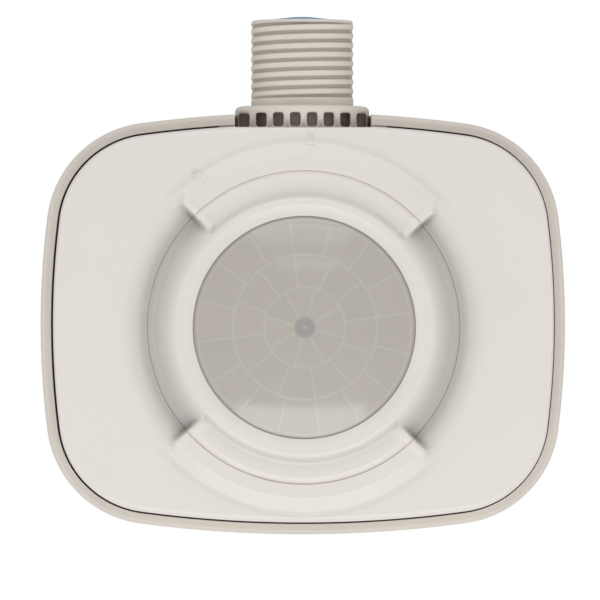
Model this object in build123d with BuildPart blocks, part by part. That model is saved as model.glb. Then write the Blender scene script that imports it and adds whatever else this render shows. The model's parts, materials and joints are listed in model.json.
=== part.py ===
"""Fixture-mount occupancy sensor: threaded conduit nipple, two-shell housing, twist-off lens ring.

Frame: +Z runs up the nipple's axis, the lens faces -Y, and the origin is the centre of the
collar's top face. Depths are distances towards the front, so a depth d lies at Y = -d.
Angles round the lens are counted anticlockwise from +X as seen from the front.
"""
from build123d import *
import math
import os

os.makedirs("parts", exist_ok=True)

# ------------------------------------------------------------------ driving dimensions, mm
# Housing outline: four shallow arcs joined by four corner arcs
half_width = 51.65
half_height = 41.53
top_arc_radius = 240.0
side_arc_radius = 166.0
corner_radius = 21.2
body_z = -42.91                 # height of the outline's centre
lens_z = -43.65                 # height of the lens axis

# Shells, depths towards the front
wall = 2.05
back_depth = -15.0
rim_depth = 9.0
back_rounding = 3.0
rim_rounding = 1.0
ledge_depth = 7.0               # the gasket's seat inside the rim
ledge_thickness = 1.6
ledge_inset = 4.6
gasket_thickness = 1.0
cover_inset = 2.45
cover_wall = 2.2
cover_edge_depth = ledge_depth + gasket_thickness
cover_apex_depth = 15.9
cover_crown_radius = 900.0
cover_rounding = 1.2

# Conduit nipple, 1/2 inch straight pipe thread
thread_radius = 10.35
thread_pitch = 1.814
thread_depth = 0.85
nipple_length = 17.0
neck_length = 1.3
land_half_width = 9.9           # smooth parting lands at +X and -X
bore_radius = 7.4
collar_radius = 13.3
collar_height = 4.38
waist_radius = 9.5
waist_height = 2.82
flange_width = 24.4
flange_thickness = 2.0
pocket_gap = 0.15
window_pitch = 3.3
window_width = 2.1
window_height = 2.85
window_rounding = 0.6
window_floor_radius = 9.6
window_web = 3.0                # solid left across the middle of the outermost windows
seal_length = 6.35
seal_crown_radius = 30.0
seal_proud = 0.85               # the seal's crown stands above the nipple's mouth

# Lens ring and its seat in the cover
seat_radius = 30.9
ring_radius = 30.65
seat_depth = 11.0
ring_back_depth = 11.2
flange_depth = 9.0
seat_bore_radius = 28.4
skirt_radius = 28.1
skirt_inner_radius = 26.6
skirt_depth = 7.2
wing_depth = 16.8
boss_flat_radius = 33.4
boss_bevel_radius = 36.2
boss_foot_radius = 36.9
recess_half_angle = 44.3
recess_floor_depth = 13.0
lens_radius = 21.35
lens_edge_depth = 17.9
lens_apex_depth = 21.0
lens_thickness = 0.9

# Marks on the cover
mark_angles = (88.0, 124.6)     # lock, open
tick_radius = 34.5
sign_radius = 36.3
sign_depth = 16.15
sign_thickness = 1.4

# Bayonet
lug_angles = (30.0, 150.0, 270.0)
lug_half_angle = 11.0
lug_radius = 30.2
lug_thickness = 1.5
twist_angle = 36.0
slot_half_angle = 13.0
stop_width_angle = 3.0
stop_gap_angle = 0.4

# Fasteners
boss_x = 37.0
boss_z = 27.0
rear_boss_radius = 4.6
cover_boss_radius = 3.4
boss_joint_depth = 4.1
counterbore_radius = 3.2
counterbore_floor = -8.0
screw_clearance_radius = 1.7
pilot_radius = 1.5
screw_radius = 1.45

# Boards
board_thickness = 1.6
power_board_depth = -9.0        # component side
sensor_board_depth = 1.0        # component side
power_board_width = 84.0
power_board_height = 62.0
board_notch_width = 10.0
board_notch_height = 9.0
sensor_board_width = 46.0
post_x = 29.0
post_z = 27.5
post_radius = 2.8
spacer_offset = 19.5


def front(depth, x=0.0, z=body_z):
    """A plane that faces the front at the given depth, with its origin at x, z."""
    return Plane((x, -depth, z), x_dir=(1, 0, 0), z_dir=(0, -1, 0))


def lens_front(depth, x=0.0, z=0.0):
    """A front-facing plane with its origin offset from the lens axis."""
    return front(depth, x, lens_z + z)


def radial(angle):
    """The half-plane at an angle round the lens: local x is the radius, local y the depth."""
    a = math.radians(angle)
    return Plane((0, 0, lens_z), x_dir=(math.cos(a), 0, math.sin(a)), z_dir=(math.sin(a), 0, -math.cos(a)))


lens_axis = Axis((0, 0, lens_z), (0, -1, 0))


def outline(inset):
    """The housing's bulged rounded rectangle, drawn inside its silhouette by the inset."""
    width = half_width - inset
    height = half_height - inset
    top_radius = top_arc_radius - inset
    side_radius = side_arc_radius - inset
    radius = corner_radius - inset
    top_centre = Vector(0, height - top_radius)
    side_centre = Vector(width - side_radius, 0)
    # The corner's centre lies where two circles about the shallow arcs' centres meet
    span = side_centre - top_centre
    reach_top = top_radius - radius
    reach_side = side_radius - radius
    along = (reach_top**2 - reach_side**2 + span.length**2) / (2 * span.length)
    across = math.sqrt(reach_top**2 - along**2)
    unit = span.normalized()
    corner = top_centre + unit * along + Vector(unit.Y, -unit.X) * across
    top_end = top_centre + (corner - top_centre).normalized() * top_radius
    side_end = side_centre + (corner - side_centre).normalized() * side_radius
    middle = (corner - top_centre).normalized() + (corner - side_centre).normalized()
    corner_middle = corner + middle.normalized() * radius

    def flip(point, sx, sy):
        return (point.X * sx, point.Y * sy)

    with BuildSketch() as shape:
        with BuildLine():
            for sx, sy in ((1, 1), (-1, 1), (-1, -1), (1, -1)):
                ThreePointArc(flip(top_end, sx, sy), flip(corner_middle, sx, sy), flip(side_end, sx, sy))
            for sy in (1, -1):
                ThreePointArc(flip(top_end, -1, sy), (0, height * sy), flip(top_end, 1, sy))
            for sx in (1, -1):
                ThreePointArc(flip(side_end, sx, 1), (width * sx, 0), flip(side_end, sx, -1))
        make_face()
    return shape.sketch


def sector(points, start, arc):
    """A closed radius-and-depth polygon turned round the lens axis from a start angle."""
    with BuildPart() as piece:
        with BuildSketch(radial(start)):
            with BuildLine():
                Polyline(*points, close=True)
            make_face()
        revolve(axis=lens_axis, revolution_arc=arc)
    return piece.part


def padlock(swing):
    """A small padlock sign, upright along local +X, its shackle swung open by an angle."""
    with BuildSketch() as sign:
        RectangleRounded(1.3, 1.9, 0.25)
        with BuildSketch(mode=Mode.PRIVATE) as shackle:
            with Locations((0.55, 0)):
                SlotOverall(2.1, 1.4)
            with Locations((0.55, 0)):
                SlotOverall(1.35, 0.7, mode=Mode.SUBTRACT)
            with Locations((-1.0, 0)):
                Rectangle(2.2, 3, mode=Mode.SUBTRACT)
        add(shackle.sketch.moved(Location((0.4, -0.5, 0), (0, 0, swing)) * Location((0, 0.5, 0))))
    return sign.sketch


def save(piece, label):
    piece.part.label = label
    export_step(piece.part, f"parts/{label}.step")


# ------------------------------------------------------------------ conduit nipple
root_radius = thread_radius - thread_depth
with BuildPart() as thread_ridge:
    with BuildLine() as helix:
        Helix(thread_pitch, nipple_length - neck_length - 2.0, root_radius, center=(0, 0, neck_length + 0.8))
    with BuildSketch(Plane(helix.line @ 0, x_dir=(1, 0, 0), z_dir=helix.line % 0)):
        with BuildLine():
            Polyline((-0.3, 0.8), (thread_depth, 0.25), (thread_depth, -0.25), (-0.3, -0.8), close=True)
        make_face()
    sweep(is_frenet=True)

with BuildPart() as collar_windows:
    with BuildSketch(front(0, 0, -collar_height + 0.1 + window_height / 2)):
        with GridLocations(window_pitch, 0, 8, 1):
            RectangleRounded(window_width, window_height, window_rounding)
    extrude(amount=2 * collar_radius, both=True)
    Cylinder(window_floor_radius, 4 * collar_height, mode=Mode.SUBTRACT)
    Box(4 * collar_radius, window_web, 4 * collar_height, mode=Mode.SUBTRACT)

with BuildPart() as conduit_nipple:
    Cylinder(root_radius, nipple_length, rotation=(0, 0, 37), align=(Align.CENTER, Align.CENTER, Align.MIN))
    chamfer(conduit_nipple.edges().group_by(Axis.Z)[-1], 0.3)
    add(thread_ridge.part)
    for side in (-1, 1):
        with Locations((side * (land_half_width + 2), 0, 0)):
            Box(4, 20, nipple_length, align=(Align.CENTER, Align.CENTER, Align.MIN), mode=Mode.SUBTRACT)
    Cylinder(thread_radius, neck_length, align=(Align.CENTER, Align.CENTER, Align.MIN))
    with BuildSketch(Plane.XY.offset(-collar_height)):
        Circle(collar_radius)
    extrude(amount=collar_height)
    rim = conduit_nipple.edges().filter_by(GeomType.CIRCLE).filter_by(lambda e: abs(e.radius - collar_radius) < 0.01)
    fillet(rim.sort_by(Axis.Z)[-1], 1.0)
    with BuildSketch(Plane.XY.offset(-collar_height)):
        Circle(waist_radius)
    extrude(amount=-waist_height)
    with BuildSketch(Plane.XY.offset(-collar_height - waist_height)):
        RectangleRounded(flange_width, flange_width, 2.0)
    extrude(amount=-flange_thickness)
    add(collar_windows.part, mode=Mode.SUBTRACT)
    with Locations((0, 0, nipple_length / 2)):
        Cylinder(bore_radius, 4 * nipple_length, mode=Mode.SUBTRACT)
save(conduit_nipple, "conduit_nipple")

with BuildPart() as lead_seal:
    Cylinder(bore_radius, seal_length, align=(Align.CENTER, Align.CENTER, Align.MIN))
    with Locations((0, 0, seal_length - seal_crown_radius)):
        Sphere(seal_crown_radius, mode=Mode.INTERSECT)
    with PolarLocations(3.6, 3, start_angle=90):
        Cylinder(1.5, 4 * seal_length, mode=Mode.SUBTRACT)
lead_seal.part.position = (0, 0, nipple_length + seal_proud - seal_length)
save(lead_seal, "lead_seal")

# ------------------------------------------------------------------ housing shells
boss_spots = [(x, z) for x in (-boss_x, boss_x) for z in (-boss_z, boss_z)]
post_spots = [(x, z) for x in (-post_x, post_x) for z in (-post_z, post_z)]
inner_back_depth = back_depth + wall
board_back_depth = power_board_depth - board_thickness
pocket_radius = collar_radius + pocket_gap
waist_slot_radius = waist_radius + pocket_gap
saddle_half_width = 16.5
saddle_height = waist_height - 0.1
saddle_rise = 0.8
saddle_front = cover_edge_depth - 0.1
saddle_back = inner_back_depth - 0.2

with BuildPart() as nipple_pocket:
    with BuildSketch(Plane.XY.offset(-collar_height - 0.02)):
        Circle(pocket_radius)
        with Locations((0, -pocket_radius)):
            Rectangle(2 * pocket_radius, 2 * pocket_radius)
    extrude(amount=10)
    with BuildSketch(Plane.XY.offset(-collar_height)):
        Circle(waist_slot_radius)
        with Locations((0, -pocket_radius)):
            Rectangle(2 * waist_slot_radius, 2 * pocket_radius)
    extrude(amount=-waist_height - 1.0)

with BuildPart() as rear_housing:
    with BuildSketch(front(back_depth)):
        add(outline(0))
    extrude(amount=rim_depth - back_depth)
    fillet(rear_housing.faces().sort_by(Axis.Y)[-1].edges(), back_rounding)
    fillet(rear_housing.faces().sort_by(Axis.Y)[0].edges(), rim_rounding)
    with BuildSketch(front(inner_back_depth)):
        add(outline(wall))
    extrude(amount=rim_depth - inner_back_depth, mode=Mode.SUBTRACT)
    # Ledge that carries the gasket
    with BuildSketch(front(ledge_depth)):
        add(outline(wall - 0.2))
        add(outline(ledge_inset), mode=Mode.SUBTRACT)
    extrude(amount=-ledge_thickness)
    # Saddle that takes the nipple's collar
    with BuildSketch(Plane.XY.offset(-collar_height + saddle_rise)):
        with Locations((0, -(saddle_front + saddle_back) / 2)):
            Rectangle(2 * saddle_half_width, saddle_front - saddle_back)
    extrude(amount=-saddle_height - saddle_rise)
    add(nipple_pocket.part, mode=Mode.SUBTRACT)
    # Screw bosses and board posts
    with BuildSketch(front(inner_back_depth - 0.5)):
        with Locations(*boss_spots):
            Circle(rear_boss_radius)
    extrude(amount=boss_joint_depth - inner_back_depth + 0.4)
    with BuildSketch(front(inner_back_depth - 0.5)):
        with Locations(*post_spots):
            Circle(post_radius)
    extrude(amount=board_back_depth - inner_back_depth + 0.5)
    with BuildSketch(front(back_depth)):
        with Locations(*boss_spots):
            Circle(counterbore_radius)
    extrude(amount=counterbore_floor - back_depth, mode=Mode.SUBTRACT)
    with BuildSketch(front(back_depth)):
        with Locations(*boss_spots):
            Circle(screw_clearance_radius)
    extrude(amount=30, mode=Mode.SUBTRACT)
    with BuildSketch(front(board_back_depth)):
        with Locations(*post_spots):
            Circle(1.05)
    extrude(amount=-2.2, mode=Mode.SUBTRACT)
save(rear_housing, "rear_housing")

with BuildPart() as housing_gasket:
    with BuildSketch(front(ledge_depth)):
        add(outline(wall + 0.05))
        add(outline(ledge_inset), mode=Mode.SUBTRACT)
        with Locations((0, half_height)):
            Rectangle(2 * saddle_half_width + 0.2, 20, mode=Mode.SUBTRACT)
    extrude(amount=gasket_thickness)
save(housing_gasket, "housing_gasket")

# Crowned blank of the cover and the crowned hollow behind it
cover_inner_inset = cover_inset + cover_wall
with BuildPart() as cover_hollow:
    with BuildSketch(front(cover_edge_depth - 1)):
        add(outline(cover_inner_inset))
    extrude(amount=cover_apex_depth)
    with Locations((0, cover_crown_radius - cover_apex_depth, body_z)):
        Sphere(cover_crown_radius - cover_wall, mode=Mode.INTERSECT)

boss_profile = [(seat_radius - 0.5, 13.1), (seat_radius - 0.5, wing_depth), (boss_flat_radius, wing_depth),
                (boss_bevel_radius, wing_depth - 1.15), (boss_foot_radius, wing_depth - 1.6),
                (boss_foot_radius, 13.1)]
sector_arc = 180 - 2 * recess_half_angle

with BuildPart() as front_cover:
    with BuildSketch(front(cover_edge_depth)):
        add(outline(cover_inset))
    extrude(amount=cover_apex_depth)
    with Locations((0, cover_crown_radius - cover_apex_depth, body_z)):
        Sphere(cover_crown_radius, mode=Mode.INTERSECT)
    fillet(front_cover.faces().sort_by(Axis.Y)[0].edges(), cover_rounding)
    # Straight notch in the top edge, under the collar
    with Locations((0, 0, -collar_height - 0.05)):
        Box(2 * pocket_radius, 60, 20, align=(Align.CENTER, Align.CENTER, Align.MIN), mode=Mode.SUBTRACT)
    add(cover_hollow.part, mode=Mode.SUBTRACT)
    # Lip that closes the nipple's saddle
    with BuildSketch(front(cover_edge_depth, 0, -collar_height - 0.05 - 1.35)):
        Rectangle(2 * saddle_half_width, 2.7)
    extrude(amount=5.5)
    with Locations((0, 0, -8)):
        Cylinder(waist_slot_radius, 12, mode=Mode.SUBTRACT)
    # Raised boss above and below the lens ring, and the seat's wall and flange
    for start in (recess_half_angle, 180 + recess_half_angle):
        add(sector(boss_profile, start, sector_arc))
    add(sector([(seat_bore_radius, flange_depth), (seat_bore_radius, seat_depth), (seat_radius - 0.3, seat_depth),
                (seat_radius - 0.3, 14.2), (seat_radius + 1.8, 14.2), (seat_radius + 1.8, flange_depth)], 0, 360))
    # Bosses that take the housing screws
    with BuildSketch(front(boss_joint_depth + 0.1)):
        with Locations(*boss_spots):
            Circle(cover_boss_radius)
    extrude(amount=9.3)
    with BuildSketch(front(boss_joint_depth + 0.1)):
        with Locations(*boss_spots):
            Circle(pilot_radius)
    extrude(amount=7.6, mode=Mode.SUBTRACT)
    # Seat for the lens ring
    with BuildSketch(lens_front(seat_depth)):
        Circle(seat_radius)
    extrude(amount=20, mode=Mode.SUBTRACT)
    with BuildSketch(lens_front(0)):
        Circle(seat_bore_radius)
    extrude(amount=20, mode=Mode.SUBTRACT)
    # Finger recesses at the left and right of the ring, rolling over into the face
    for start in (-recess_half_angle, 180 - recess_half_angle):
        with BuildSketch(radial(start)):
            with BuildLine():
                roll = ThreePointArc((30.0, 12.2), (32.2, 14.15), (35.4, 15.24))
                Polyline(roll @ 1, (35.6, 22.0), (30.0, 22.0), roll @ 0)
            make_face()
        revolve(axis=lens_axis, revolution_arc=2 * recess_half_angle, mode=Mode.SUBTRACT)
    # Entry slots for the bayonet lugs, then their stops
    for lug in lug_angles:
        slot_start = lug + twist_angle - slot_half_angle
        slot_profile = [(27.0, 8.0), (30.5, 8.0), (30.5, 11.5), (27.0, 11.5)]
        add(sector(slot_profile, slot_start, 2 * slot_half_angle), mode=Mode.SUBTRACT)
    for lug in lug_angles:
        lock_stop = lug - lug_half_angle - stop_gap_angle - stop_width_angle
        open_stop = lug + lug_half_angle + twist_angle + stop_gap_angle + 1.6
        for start in (lock_stop, open_stop):
            stop_profile = [(28.5, 7.3), (32.4, 7.3), (32.4, 9.6), (28.5, 9.6)]
            add(sector(stop_profile, start, stop_width_angle))
    # Position ticks, and padlock signs: closed at the lock end, open at the release end
    with BuildSketch(lens_front(wing_depth - 1.3)):
        for mark in mark_angles:
            with PolarLocations(tick_radius, 1, start_angle=mark):
                Rectangle(0.9, 0.6)
    extrude(amount=1.05)
    with BuildSketch(lens_front(sign_depth - sign_thickness)):
        for mark, swing in zip(mark_angles, (0.0, 32.0)):
            with PolarLocations(sign_radius, 1, start_angle=mark):
                add(padlock(swing))
    extrude(amount=sign_thickness)
save(front_cover, "front_cover")

with BuildPart() as housing_screws:
    with BuildSketch(front(counterbore_floor)):
        with Locations(*boss_spots):
            Circle(2.8)
    extrude(amount=-2.2)
    fillet(housing_screws.edges().group_by(Axis.Y)[-1], 0.7)
    with BuildSketch(front(counterbore_floor)):
        with Locations(*boss_spots):
            Circle(screw_radius)
    extrude(amount=19.0)
    with BuildSketch(front(counterbore_floor - 2.2)):
        with Locations(*boss_spots):
            Rectangle(3.2, 0.7)
            Rectangle(0.7, 3.2)
    extrude(amount=1.3, mode=Mode.SUBTRACT)
save(housing_screws, "housing_screws")

# ------------------------------------------------------------------ lens ring, lens and retainer
with BuildPart() as lens_ring:
    with BuildSketch(radial(0)):
        with BuildLine():
            crest = ThreePointArc((23.7, 18.35), (24.6, 19.2), (25.6, 18.5))
            valley = ThreePointArc((25.6, 18.5), (25.95, 17.3), (26.9, wing_depth))
            Polyline(valley @ 1, (29.5, wing_depth), (ring_radius, wing_depth - 0.5), (ring_radius, ring_back_depth),
                     (skirt_radius, ring_back_depth), (skirt_radius, skirt_depth), (skirt_inner_radius, skirt_depth),
                     (skirt_inner_radius, 13.0), (24.4, 14.8), (24.4, 16.6), (23.5, 16.6), (23.5, 17.3),
                     (21.75, 17.3), (21.75, 18.15), (23.3, 18.3), (23.4, 18.05), (23.65, 18.05), crest @ 0)
        make_face()
    revolve(axis=lens_axis)
    # Finger recesses on the left and right
    for start in (-recess_half_angle, 180 - recess_half_angle):
        with BuildSketch(radial(start)):
            with BuildLine():
                scoop = ThreePointArc((25.3, 18.9), (27.1, 14.9), (31.0, recess_floor_depth))
                Polyline(scoop @ 1, (31.0, 22.0), (25.3, 22.0), scoop @ 0)
            make_face()
        revolve(axis=lens_axis, revolution_arc=2 * recess_half_angle, mode=Mode.SUBTRACT)
    # Bayonet lugs
    for lug in lug_angles:
        lug_profile = [(skirt_radius - 0.4, skirt_depth), (skirt_radius - 0.4, skirt_depth + lug_thickness),
                       (lug_radius, skirt_depth + lug_thickness), (lug_radius, skirt_depth)]
        add(sector(lug_profile, lug - lug_half_angle, 2 * lug_half_angle))
save(lens_ring, "lens_ring")

with BuildPart() as fresnel_lens:
    with BuildSketch(radial(0)):
        with BuildLine():
            sag = lens_apex_depth - lens_edge_depth
            dome_radius = (lens_radius**2 + sag**2) / (2 * sag)
            middle_sag = dome_radius - math.sqrt(dome_radius**2 - (lens_radius / 2) ** 2)
            dome = ThreePointArc((0, lens_apex_depth), (lens_radius / 2, lens_apex_depth - middle_sag),
                                 (lens_radius, lens_edge_depth))
            hollow = ThreePointArc((0, lens_apex_depth - lens_thickness),
                                   (lens_radius / 2, lens_apex_depth - lens_thickness - middle_sag),
                                   (lens_radius, lens_edge_depth - lens_thickness))
            Polyline(dome @ 1, (lens_radius, 17.25), (23.4, 17.25), (23.4, 16.65), (lens_radius, 16.65), hollow @ 1)
            Line(hollow @ 0, dome @ 0)
        make_face()
    revolve(axis=lens_axis)
save(fresnel_lens, "fresnel_lens")

with BuildPart() as lens_retainer:
    with BuildSketch(radial(0)):
        with BuildLine():
            Polyline((21.0, 15.2), (21.0, 16.6), (24.35, 16.6), (24.35, 15.2), close=True)
        make_face()
    revolve(axis=lens_axis)
save(lens_retainer, "lens_retainer")

# ------------------------------------------------------------------ circuit boards
with BuildPart() as power_board:
    with BuildSketch(front(board_back_depth)):
        Rectangle(power_board_width, power_board_height)
        with GridLocations(power_board_width, power_board_height, 2, 2):
            Rectangle(2 * board_notch_width, 2 * board_notch_height, mode=Mode.SUBTRACT)
        with Locations(*post_spots):
            Circle(1.3, mode=Mode.SUBTRACT)
    extrude(amount=board_thickness)
save(power_board, "power_board")

with BuildPart() as power_board_screws:
    with BuildSketch(front(power_board_depth)):
        with Locations(*post_spots):
            Circle(2.2)
    extrude(amount=1.5)
    fillet(power_board_screws.edges().group_by(Axis.Y)[0], 0.5)
    with BuildSketch(front(power_board_depth)):
        with Locations(*post_spots):
            Circle(1.0)
    extrude(amount=-3.6)
    with BuildSketch(front(power_board_depth + 1.5)):
        with Locations(*post_spots):
            Rectangle(2.6, 0.5)
            Rectangle(0.5, 2.6)
    extrude(amount=-0.8, mode=Mode.SUBTRACT)
save(power_board_screws, "power_board_screws")

spacer_spots = [(x, z) for x in (-spacer_offset, spacer_offset) for z in (-spacer_offset, spacer_offset)]
sensor_board_back = sensor_board_depth - board_thickness
header_z = -20.6
pin_pitch = 2.54
header_pins = 6
lead_circle = 2.54
with BuildPart() as sensor_board:
    with BuildSketch(lens_front(sensor_board_back)):
        RectangleRounded(sensor_board_width, sensor_board_width, 2.0)
        with Locations(*spacer_spots):
            Circle(1.2, mode=Mode.SUBTRACT)
        with PolarLocations(lead_circle, 3, start_angle=45, angular_range=270):
            Circle(0.4, mode=Mode.SUBTRACT)
    extrude(amount=board_thickness)
save(sensor_board, "sensor_board")

with BuildPart() as board_spacers:
    with BuildSketch(lens_front(power_board_depth)):
        with Locations(*spacer_spots):
            RegularPolygon(2.7, 6)
            Circle(1.1, mode=Mode.SUBTRACT)
    extrude(amount=sensor_board_back - power_board_depth)
save(board_spacers, "board_spacers")

with BuildPart() as sensor_board_screws:
    with BuildSketch(lens_front(sensor_board_depth)):
        with Locations(*spacer_spots):
            Circle(2.1)
    extrude(amount=1.4)
    fillet(sensor_board_screws.edges().group_by(Axis.Y)[0], 0.5)
    with BuildSketch(lens_front(sensor_board_depth)):
        with Locations(*spacer_spots):
            Circle(1.0)
    extrude(amount=-6.0)
    with BuildSketch(lens_front(sensor_board_depth + 1.4)):
        with Locations(*spacer_spots):
            Rectangle(2.4, 0.5)
            Rectangle(0.5, 2.4)
    extrude(amount=-0.8, mode=Mode.SUBTRACT)
save(sensor_board_screws, "sensor_board_screws")

with BuildPart() as board_header:
    with BuildSketch(lens_front(power_board_depth, 0, header_z)):
        Rectangle(header_pins * pin_pitch, 2.5)
    extrude(amount=2.5)
    with BuildSketch(lens_front(power_board_depth + 2.5, 0, header_z)):
        with GridLocations(pin_pitch, 1, header_pins, 1):
            Rectangle(0.64, 0.64)
    extrude(amount=5.0)
save(board_header, "board_header")

with BuildPart() as board_socket:
    with BuildSketch(lens_front(sensor_board_back, 0, header_z)):
        Rectangle(header_pins * pin_pitch, 2.5)
        with GridLocations(pin_pitch, 1, header_pins, 1):
            Rectangle(0.76, 0.76, mode=Mode.SUBTRACT)
    extrude(amount=-5.8)
save(board_socket, "board_socket")


# ------------------------------------------------------------------ parts on the sensor board
def blocks(label, plane, spots, width, height, tall):
    """Equal rectangular components that stand on a board, saved as one node."""
    with BuildPart() as piece:
        with BuildSketch(plane):
            with Locations(*spots):
                Rectangle(width, height)
        extrude(amount=tall)
    save(piece, label)


with BuildPart() as pir_can:
    with BuildSketch(lens_front(sensor_board_depth)):
        Circle(4.9)
    extrude(amount=0.5)
    with BuildSketch(lens_front(sensor_board_depth)):
        Circle(4.3)
    extrude(amount=4.3)
    fillet(pir_can.edges().group_by(Axis.Y)[0], 0.4)
    with BuildSketch(lens_front(sensor_board_depth + 4.3)):
        Rectangle(4.2, 3.4)
    extrude(amount=-0.4, mode=Mode.SUBTRACT)
save(pir_can, "pir_can")

blocks("pir_window", lens_front(sensor_board_depth + 3.9), [(0, 0)], 4.2, 3.4, 0.3)

with BuildPart() as pir_leads:
    with BuildSketch(lens_front(sensor_board_depth)):
        with PolarLocations(lead_circle, 3, start_angle=45, angular_range=270):
            Circle(0.23)
    extrude(amount=-3.0)
save(pir_leads, "pir_leads")

with BuildPart() as status_led:
    with BuildSketch(lens_front(sensor_board_depth, 7.4, 5.6)):
        Circle(1.5)
    extrude(amount=3.8)
    fillet(status_led.edges().group_by(Axis.Y)[0], 1.2)
    with BuildSketch(lens_front(sensor_board_depth, 7.4, 5.6)):
        Circle(1.9)
    extrude(amount=0.8)
save(status_led, "status_led")

with BuildPart() as light_sensor:
    with BuildSketch(lens_front(sensor_board_depth, -8.2, 5.6)):
        Circle(2.5)
    extrude(amount=2.0)
    fillet(light_sensor.edges().group_by(Axis.Y)[0], 0.3)
save(light_sensor, "light_sensor")

# DIP switch: four sliders that each travel upwards in a slot
dip_z = -13.2
dip_tall = 3.6
slot_width = 1.5
slot_height = 3.7
slot_floor = sensor_board_depth + dip_tall - 1.6
slider_width = 1.2
slider_height = 1.5
slider_travel = 2.0
slider_rest = dip_z - slider_travel / 2
with BuildPart() as dip_switch_body:
    with BuildSketch(lens_front(sensor_board_depth, 0, dip_z)):
        Rectangle(11.6, 6.4)
    extrude(amount=dip_tall)
    with BuildSketch(lens_front(slot_floor, 0, dip_z)):
        with GridLocations(pin_pitch, 1, 4, 1):
            Rectangle(slot_width, slot_height)
    extrude(amount=3, mode=Mode.SUBTRACT)
save(dip_switch_body, "dip_switch_body")

for number in range(4):
    slider_x = (number - 1.5) * pin_pitch
    blocks(f"dip_slider_{number + 1}", lens_front(slot_floor + 0.1, slider_x, slider_rest), [(0, 0)],
           slider_width, slider_height, 2.0)

# Trimmers for the delay and the light threshold
trimmer_z = -7.6
trimmer_x = 14.2
trimmer_tall = 4.4
well_radius = 2.6
rotor_radius = 2.5
well_floor = sensor_board_depth + trimmer_tall - 1.8
for side, label in ((-1, "delay_trimmer"), (1, "light_trimmer")):
    with BuildPart() as trimmer_body:
        with BuildSketch(lens_front(sensor_board_depth, side * trimmer_x, trimmer_z)):
            RectangleRounded(6.6, 6.6, 0.4)
        extrude(amount=trimmer_tall)
        with BuildSketch(lens_front(well_floor, side * trimmer_x, trimmer_z)):
            Circle(well_radius)
        extrude(amount=3, mode=Mode.SUBTRACT)
    save(trimmer_body, f"{label}_body")
    with BuildPart() as trimmer_rotor:
        with BuildSketch(lens_front(well_floor + 0.1, side * trimmer_x, trimmer_z)):
            Circle(rotor_radius)
        extrude(amount=1.9)
        with BuildSketch(lens_front(well_floor + 2.0, side * trimmer_x, trimmer_z)):
            Rectangle(0.7, 4.0)
            Rectangle(3.2, 0.7)
        extrude(amount=-0.8, mode=Mode.SUBTRACT)
    save(trimmer_rotor, f"{label}_rotor")

# Test button: the cap presses back into its body
button_spot = (14.2, 5.5)
button_tall = 3.4
button_travel = 0.3
button_floor = sensor_board_depth + button_tall - 1.2
with BuildPart() as test_button_body:
    with BuildSketch(lens_front(sensor_board_depth, *button_spot)):
        RectangleRounded(6.0, 6.0, 0.4)
    extrude(amount=button_tall)
    with BuildSketch(lens_front(button_floor, *button_spot)):
        Circle(1.8)
    extrude(amount=3, mode=Mode.SUBTRACT)
save(test_button_body, "test_button_body")
with BuildPart() as test_button_cap:
    with BuildSketch(lens_front(button_floor + button_travel + 0.1, *button_spot)):
        Circle(1.7)
    extrude(amount=1.9)
save(test_button_cap, "test_button_cap")

blocks("microcontroller", lens_front(sensor_board_depth, -12.6, 13.6), [(0, 0)], 7.0, 7.0, 1.2)
blocks("amplifier_chip", lens_front(sensor_board_depth, 1.0, 14.2), [(0, 0)], 8.6, 3.9, 1.4)
grid_x = [-3.9, -1.3, 1.3, 3.9]
blocks("chip_resistors", lens_front(sensor_board_depth, 11.9, 13.8), [(x, z) for x in grid_x[:3] for z in (-1.2, 1.2)],
       1.6, 0.8, 0.5)
blocks("chip_capacitors", lens_front(sensor_board_depth, -13.6, 1.0), [(x, z) for x in grid_x[1:] for z in (-1.2, 1.2)],
       1.25, 1.6, 0.9)

# ------------------------------------------------------------------ parts on the power board
with BuildPart() as relay:
    with BuildSketch(front(power_board_depth, -34.0)):
        RectangleRounded(14.0, 19.0, 0.6)
    extrude(amount=15.0)
    fillet(relay.edges().group_by(Axis.Y)[0], 0.4)
save(relay, "relay")

transformer_x = 34.0
transformer_z = body_z + 6.0
core_width = 12.0
core_height = 17.0
core_tall = 13.5
limb = 4.25
with BuildPart() as transformer_core:
    with BuildSketch(front(power_board_depth, transformer_x, transformer_z)):
        Rectangle(core_width, core_height)
    extrude(amount=core_tall)
    with BuildSketch(Plane.YZ.offset(transformer_x - core_width)):
        with Locations(*[(-power_board_depth - core_tall / 2, transformer_z + s * (limb / 2 + 2.2)) for s in (-1, 1)]):
            Rectangle(core_tall - 5.0, 4.4)
    extrude(amount=2 * core_width, mode=Mode.SUBTRACT)
save(transformer_core, "transformer_core")

with BuildPart() as transformer_winding:
    with BuildSketch(front(power_board_depth + 2.9, transformer_x, transformer_z)):
        RectangleRounded(core_width + 3.4, limb + 8.0, 1.2)
        Rectangle(core_width + 0.4, limb + 0.2, mode=Mode.SUBTRACT)
    extrude(amount=core_tall - 5.8)
save(transformer_winding, "transformer_winding")


def can_capacitor(label, x, z, radius, tall):
    """A standing electrolytic capacitor with a crimped groove and a dished top."""
    with BuildPart() as can:
        with BuildSketch(front(power_board_depth, x, body_z + z)):
            Circle(radius)
        extrude(amount=tall)
        fillet(can.edges().group_by(Axis.Y)[0], 0.6)
        with BuildSketch(front(power_board_depth + 1.6, x, body_z + z)):
            Circle(radius)
            Circle(radius - 0.35, mode=Mode.SUBTRACT)
        extrude(amount=0.8, mode=Mode.SUBTRACT)
    save(can, label)


can_capacitor("filter_capacitor", 28.8, -16.5, 5.0, 12.5)
can_capacitor("output_capacitor", 37.6, -9.0, 3.9, 11.0)
blocks("film_capacitor", front(power_board_depth, -29.0, body_z + 16.8), [(0, 0)], 6.0, 12.0, 10.0)

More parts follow.
